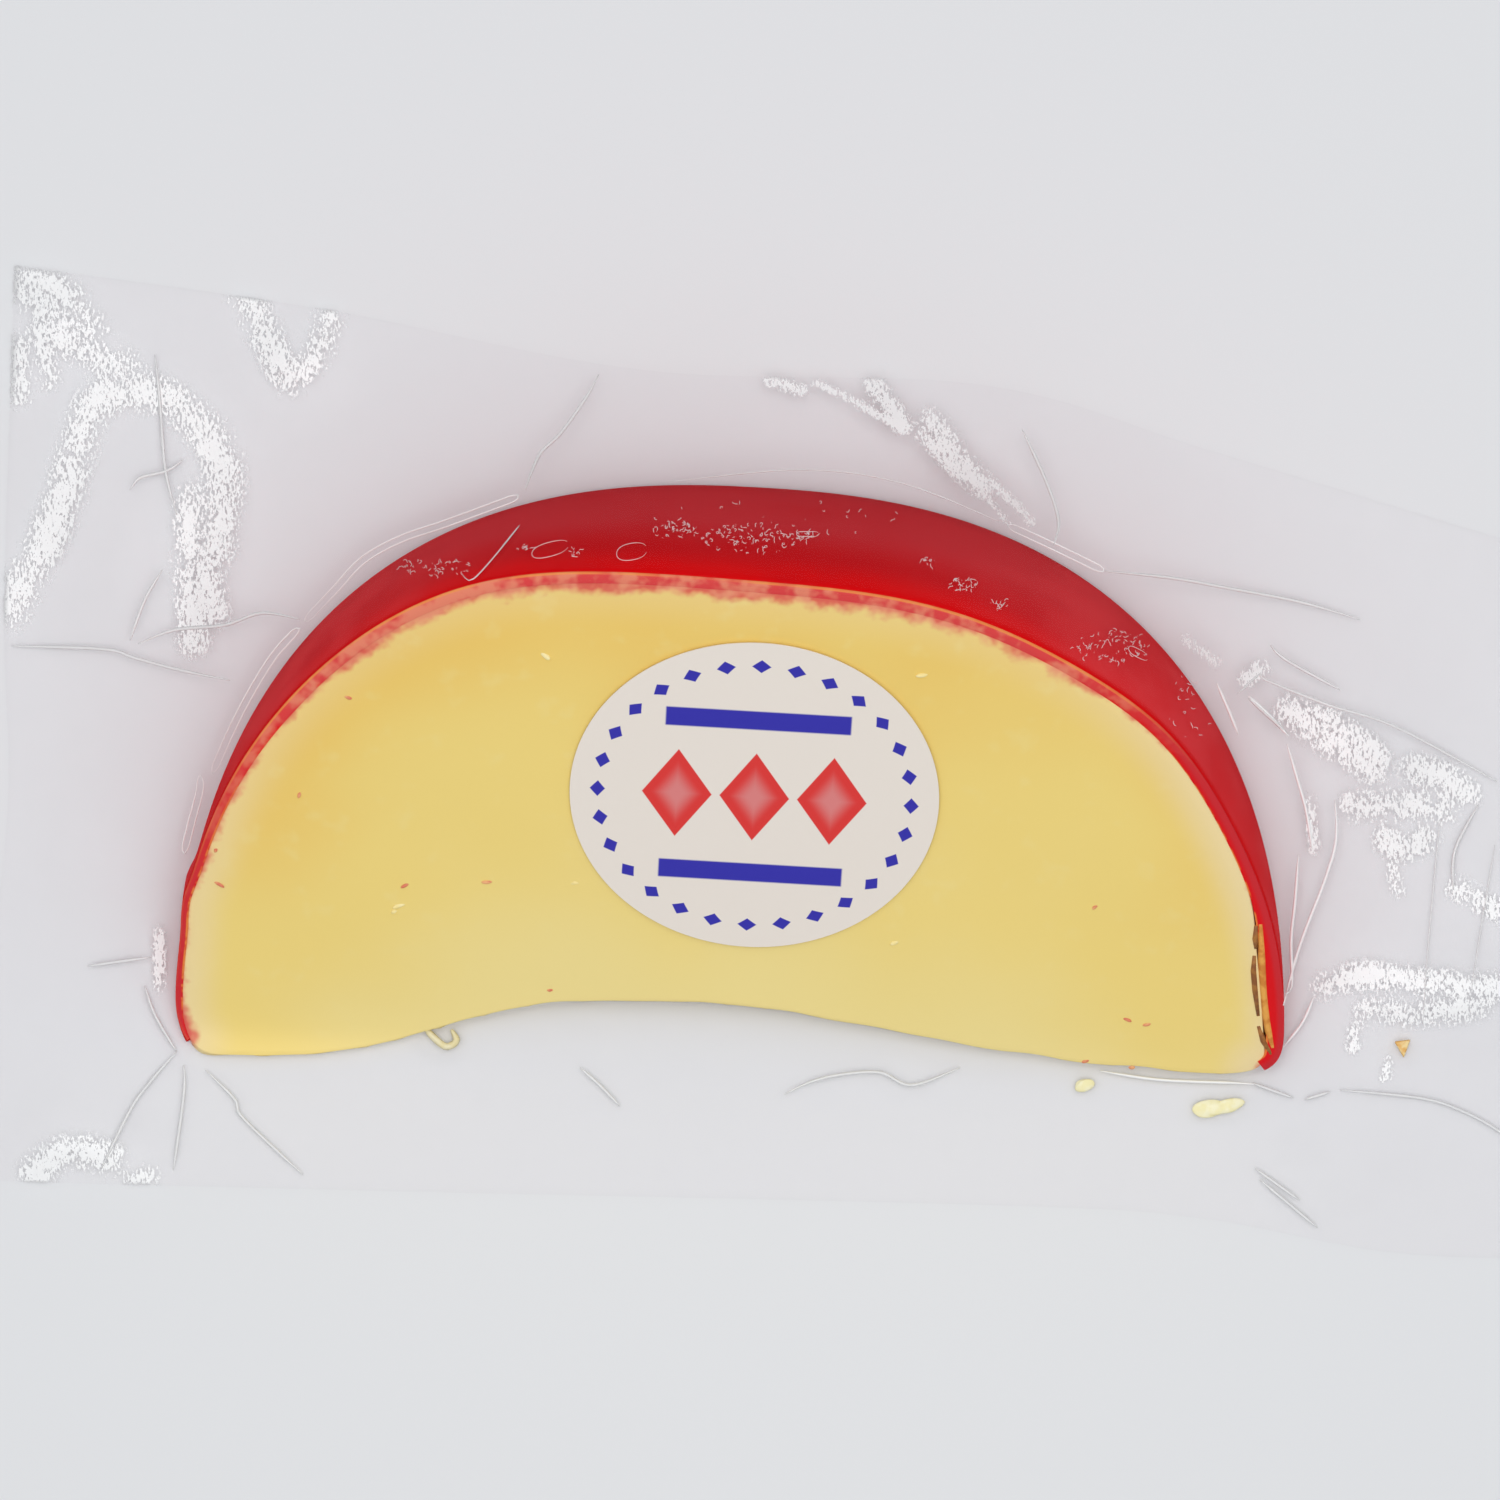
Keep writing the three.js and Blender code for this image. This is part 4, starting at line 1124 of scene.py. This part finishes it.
# Painted highlight: the pale diffuse colour stands in for light caught along the air's edges.
pale = node(tree, "BsdfDiffuse", {"Color": (1.0, 0.84, 0.84, 1)})
mixed = mix_shaders(tree, 0.75, see_through, pale)
finish_material(tree, mixed)
air_marks.data.materials.append(marks_glint_finish)
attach(air_marks, "root")

# Label
# A round paper sticker 45 mm across, stuck on the film over the upper cut face. Its print is plain
# shapes: a row of red diamonds between two blue bars, in a ring of small blue diamonds.
LABEL_RADIUS = 22.5
LABEL_MIDDLE = np.array([-8.6, -4.1])
LABEL_THICKNESS = 0.12
LABEL_STANDS_OFF = 0.12
label_across = float((LABEL_MIDDLE - AXIS_MIDDLE) @ ACROSS)
bpy.ops.object.select_all(action="DESELECT")
bpy.ops.mesh.primitive_circle_add(vertices=160, radius=LABEL_RADIUS * MM, fill_type="TRIFAN")
label = name_piece("round_label")
edit_whole()
bpy.ops.mesh.extrude_region_move(TRANSFORM_OT_translate={"value": (0, 0, LABEL_THICKNESS * MM)})
bpy.ops.mesh.select_all(action="SELECT")
bpy.ops.mesh.normals_make_consistent(inside=False)
bpy.ops.object.mode_set(mode="OBJECT")
label_points = points_of(label)
print_map = label.data.uv_layers.new(name="print")
for loop in label.data.loops:
    x, y, _ = label_points[loop.vertex_index]
    print_map.data[loop.index].uv = (x / LABEL_RADIUS, y / LABEL_RADIUS)
print_map.active = True
print_map.active_render = True
rise = np.array([ACROSS[0] * math.cos(WEDGE_ANGLE), ACROSS[1] * math.cos(WEDGE_ANGLE), math.sin(WEDGE_ANGLE)])
along = np.array([*ALONG, 0.0])
out = np.cross(along, rise)
label_height = float(face_height(label_across)) + FILM_OFFSET / math.cos(WEDGE_ANGLE)
centre = np.array([*LABEL_MIDDLE, label_height]) + out * LABEL_STANDS_OFF
move_points(label, centre + label_points @ np.array([along, rise, out]))
bpy.ops.object.shade_smooth_by_angle(angle=math.radians(30))

PAPER_COLOUR = (0.84, 0.765, 0.69, 1)
PRINT_BLUE = (0.025, 0.02, 0.40, 1)
PRINT_RED = (0.74, 0.03, 0.026, 1)
PRINT_ROSE = (0.72, 0.28, 0.27, 1)

label_finish, tree = new_material("printed label")
print_place = node(tree, "UVMap", uv_map="print").outputs[0]
parts = node(tree, "SeparateXYZ", {0: print_place})
px, py = parts.outputs[0], parts.outputs[1]
reach = node(tree, "VectorMath", {0: print_place}, operation="LENGTH").outputs["Value"]


def inside_band(tree, value, low, high, edge=0.006):
    """1 where the value is between two limits, with a narrow printed edge."""
    return times(tree, spread(tree, value, low - edge, low + edge),
                 spread(tree, value, high - edge, high + edge, 1.0, 0.0))


def repeat_cell(tree, value, step):
    """Distance from the nearest of a row of places that are one step apart, with one at nought."""
    shifted = maths(tree, "ADD", value, step / 2 + step * 20)
    return maths(tree, "ABSOLUTE", maths(tree, "SUBTRACT", maths(tree, "MODULO", shifted, step), step / 2))


up_share = maths(tree, "ABSOLUTE", py)
BAR_LOW, BAR_HIGH, BAR_HALF = 0.44, 0.56, 0.5
bar_share = inside_band(tree, up_share, BAR_LOW, BAR_HIGH)
bar_share = times(tree, bar_share, inside_band(tree, px, -BAR_HALF, BAR_HALF))
DIAMOND_STEP, DIAMOND_LEAN, ROW_HALF = 0.42, 0.66, 0.62
across_cell = repeat_cell(tree, px, DIAMOND_STEP)
diamond = maths(tree, "ADD", across_cell, times(tree, up_share, DIAMOND_LEAN))
in_row = inside_band(tree, px, -ROW_HALF, ROW_HALF)
row_share = times(tree, spread(tree, diamond, 0.185, 0.193, 1.0, 0.0), in_row)
light_share = times(tree, spread(tree, diamond, 0.03, 0.15, 0.75, 0.0), row_share)
turned = maths(tree, "ARCTAN2", py, px)
RING_COUNT, RING_REACH, RING_SQUASH = 28, 0.85, 1.25
turn_cell = repeat_cell(tree, turned, 2 * math.pi / RING_COUNT)
ring_cell = maths(tree, "ABSOLUTE", maths(tree, "SUBTRACT", reach, RING_REACH))
turn_cell = times(tree, turn_cell, RING_REACH)
ring_diamond = maths(tree, "ADD", turn_cell, times(tree, ring_cell, RING_SQUASH))
ring_share = spread(tree, ring_diamond, 0.048, 0.056, 1.0, 0.0)
colour = blend_colours(tree, ring_share, PAPER_COLOUR, PRINT_BLUE)
colour = blend_colours(tree, bar_share, colour, PRINT_BLUE)
colour = blend_colours(tree, row_share, colour, PRINT_RED)
colour = blend_colours(tree, light_share, colour, PRINT_ROSE)
finish_matt(tree, colour, 0.6, 0.5, noise(tree, 2500, 2, 0.6), 0.00001, 0.4)
label.data.materials.append(label_finish)
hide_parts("label")
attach(label, "root")

# Table and studio
# A plain pale table under soft lights, and a camera straight above the pack, as the photo was taken.
bpy.ops.object.select_all(action="DESELECT")
TABLE_SIZE, TABLE_DROP = 3.0, 0.0002
bpy.ops.mesh.primitive_plane_add(size=TABLE_SIZE, location=(0, 0, -TABLE_DROP))
table = bpy.context.object
table.name = "table"
table_finish, tree = new_material("pale table")
shader = node(tree, "BsdfPrincipled", {"Base Color": (0.74, 0.745, 0.76, 1), "Roughness": 0.7})
finish_material(tree, shader)
table.data.materials.append(table_finish)

LIGHT_REACH = 0.9
LIGHT_SIZE = 0.3
LIGHT_LEAN = math.radians(13)
LIGHT_POWER = 0.42
LIGHT_COUNT = 8
for i in range(LIGHT_COUNT):
    turn = 2 * math.pi * (i + 0.5) / LIGHT_COUNT
    flat_reach = LIGHT_REACH * math.sin(LIGHT_LEAN)
    place = (flat_reach * math.cos(turn), flat_reach * math.sin(turn), LIGHT_REACH * math.cos(LIGHT_LEAN))
    bpy.ops.object.light_add(type="AREA", location=place, rotation=(0, LIGHT_LEAN, turn))
    light = bpy.context.object
    light.name = f"softbox_{i}"
    light.data.size = LIGHT_SIZE
    light.data.energy = LIGHT_POWER

# The room is light above the table and darker towards its walls.
world = bpy.data.worlds.new("room")
bpy.context.scene.world = world
world.use_nodes = True
tree = world.node_tree
way = node(tree, "TexCoord").outputs["Generated"]
upwards = node(tree, "SeparateXYZ", {0: way}).outputs[2]
room_light = spread(tree, upwards, 0.25, 0.95, 0.21, 0.86)
background = tree.nodes["Background"]
background.inputs["Color"].default_value = (0.96, 0.98, 1.0, 1)
tree.links.new(room_light, background.inputs["Strength"])

PHOTO_PIXELS = 1500
PIXELS_PER_MM = 8.0
SENSOR = 36.0
camera_data = bpy.data.cameras.new("camera")
camera_data.sensor_width = SENSOR
camera_data.lens = SENSOR * CAMERA_PLACE[2] / (PHOTO_PIXELS / PIXELS_PER_MM)
camera_data.clip_start = 0.1
camera_data.clip_end = 10
camera = bpy.data.objects.new("camera", camera_data)
camera.location = CAMERA_PLACE * MM
bpy.context.scene.collection.objects.link(camera)
bpy.context.scene.camera = camera
bpy.context.scene.view_settings.view_transform = "Standard"
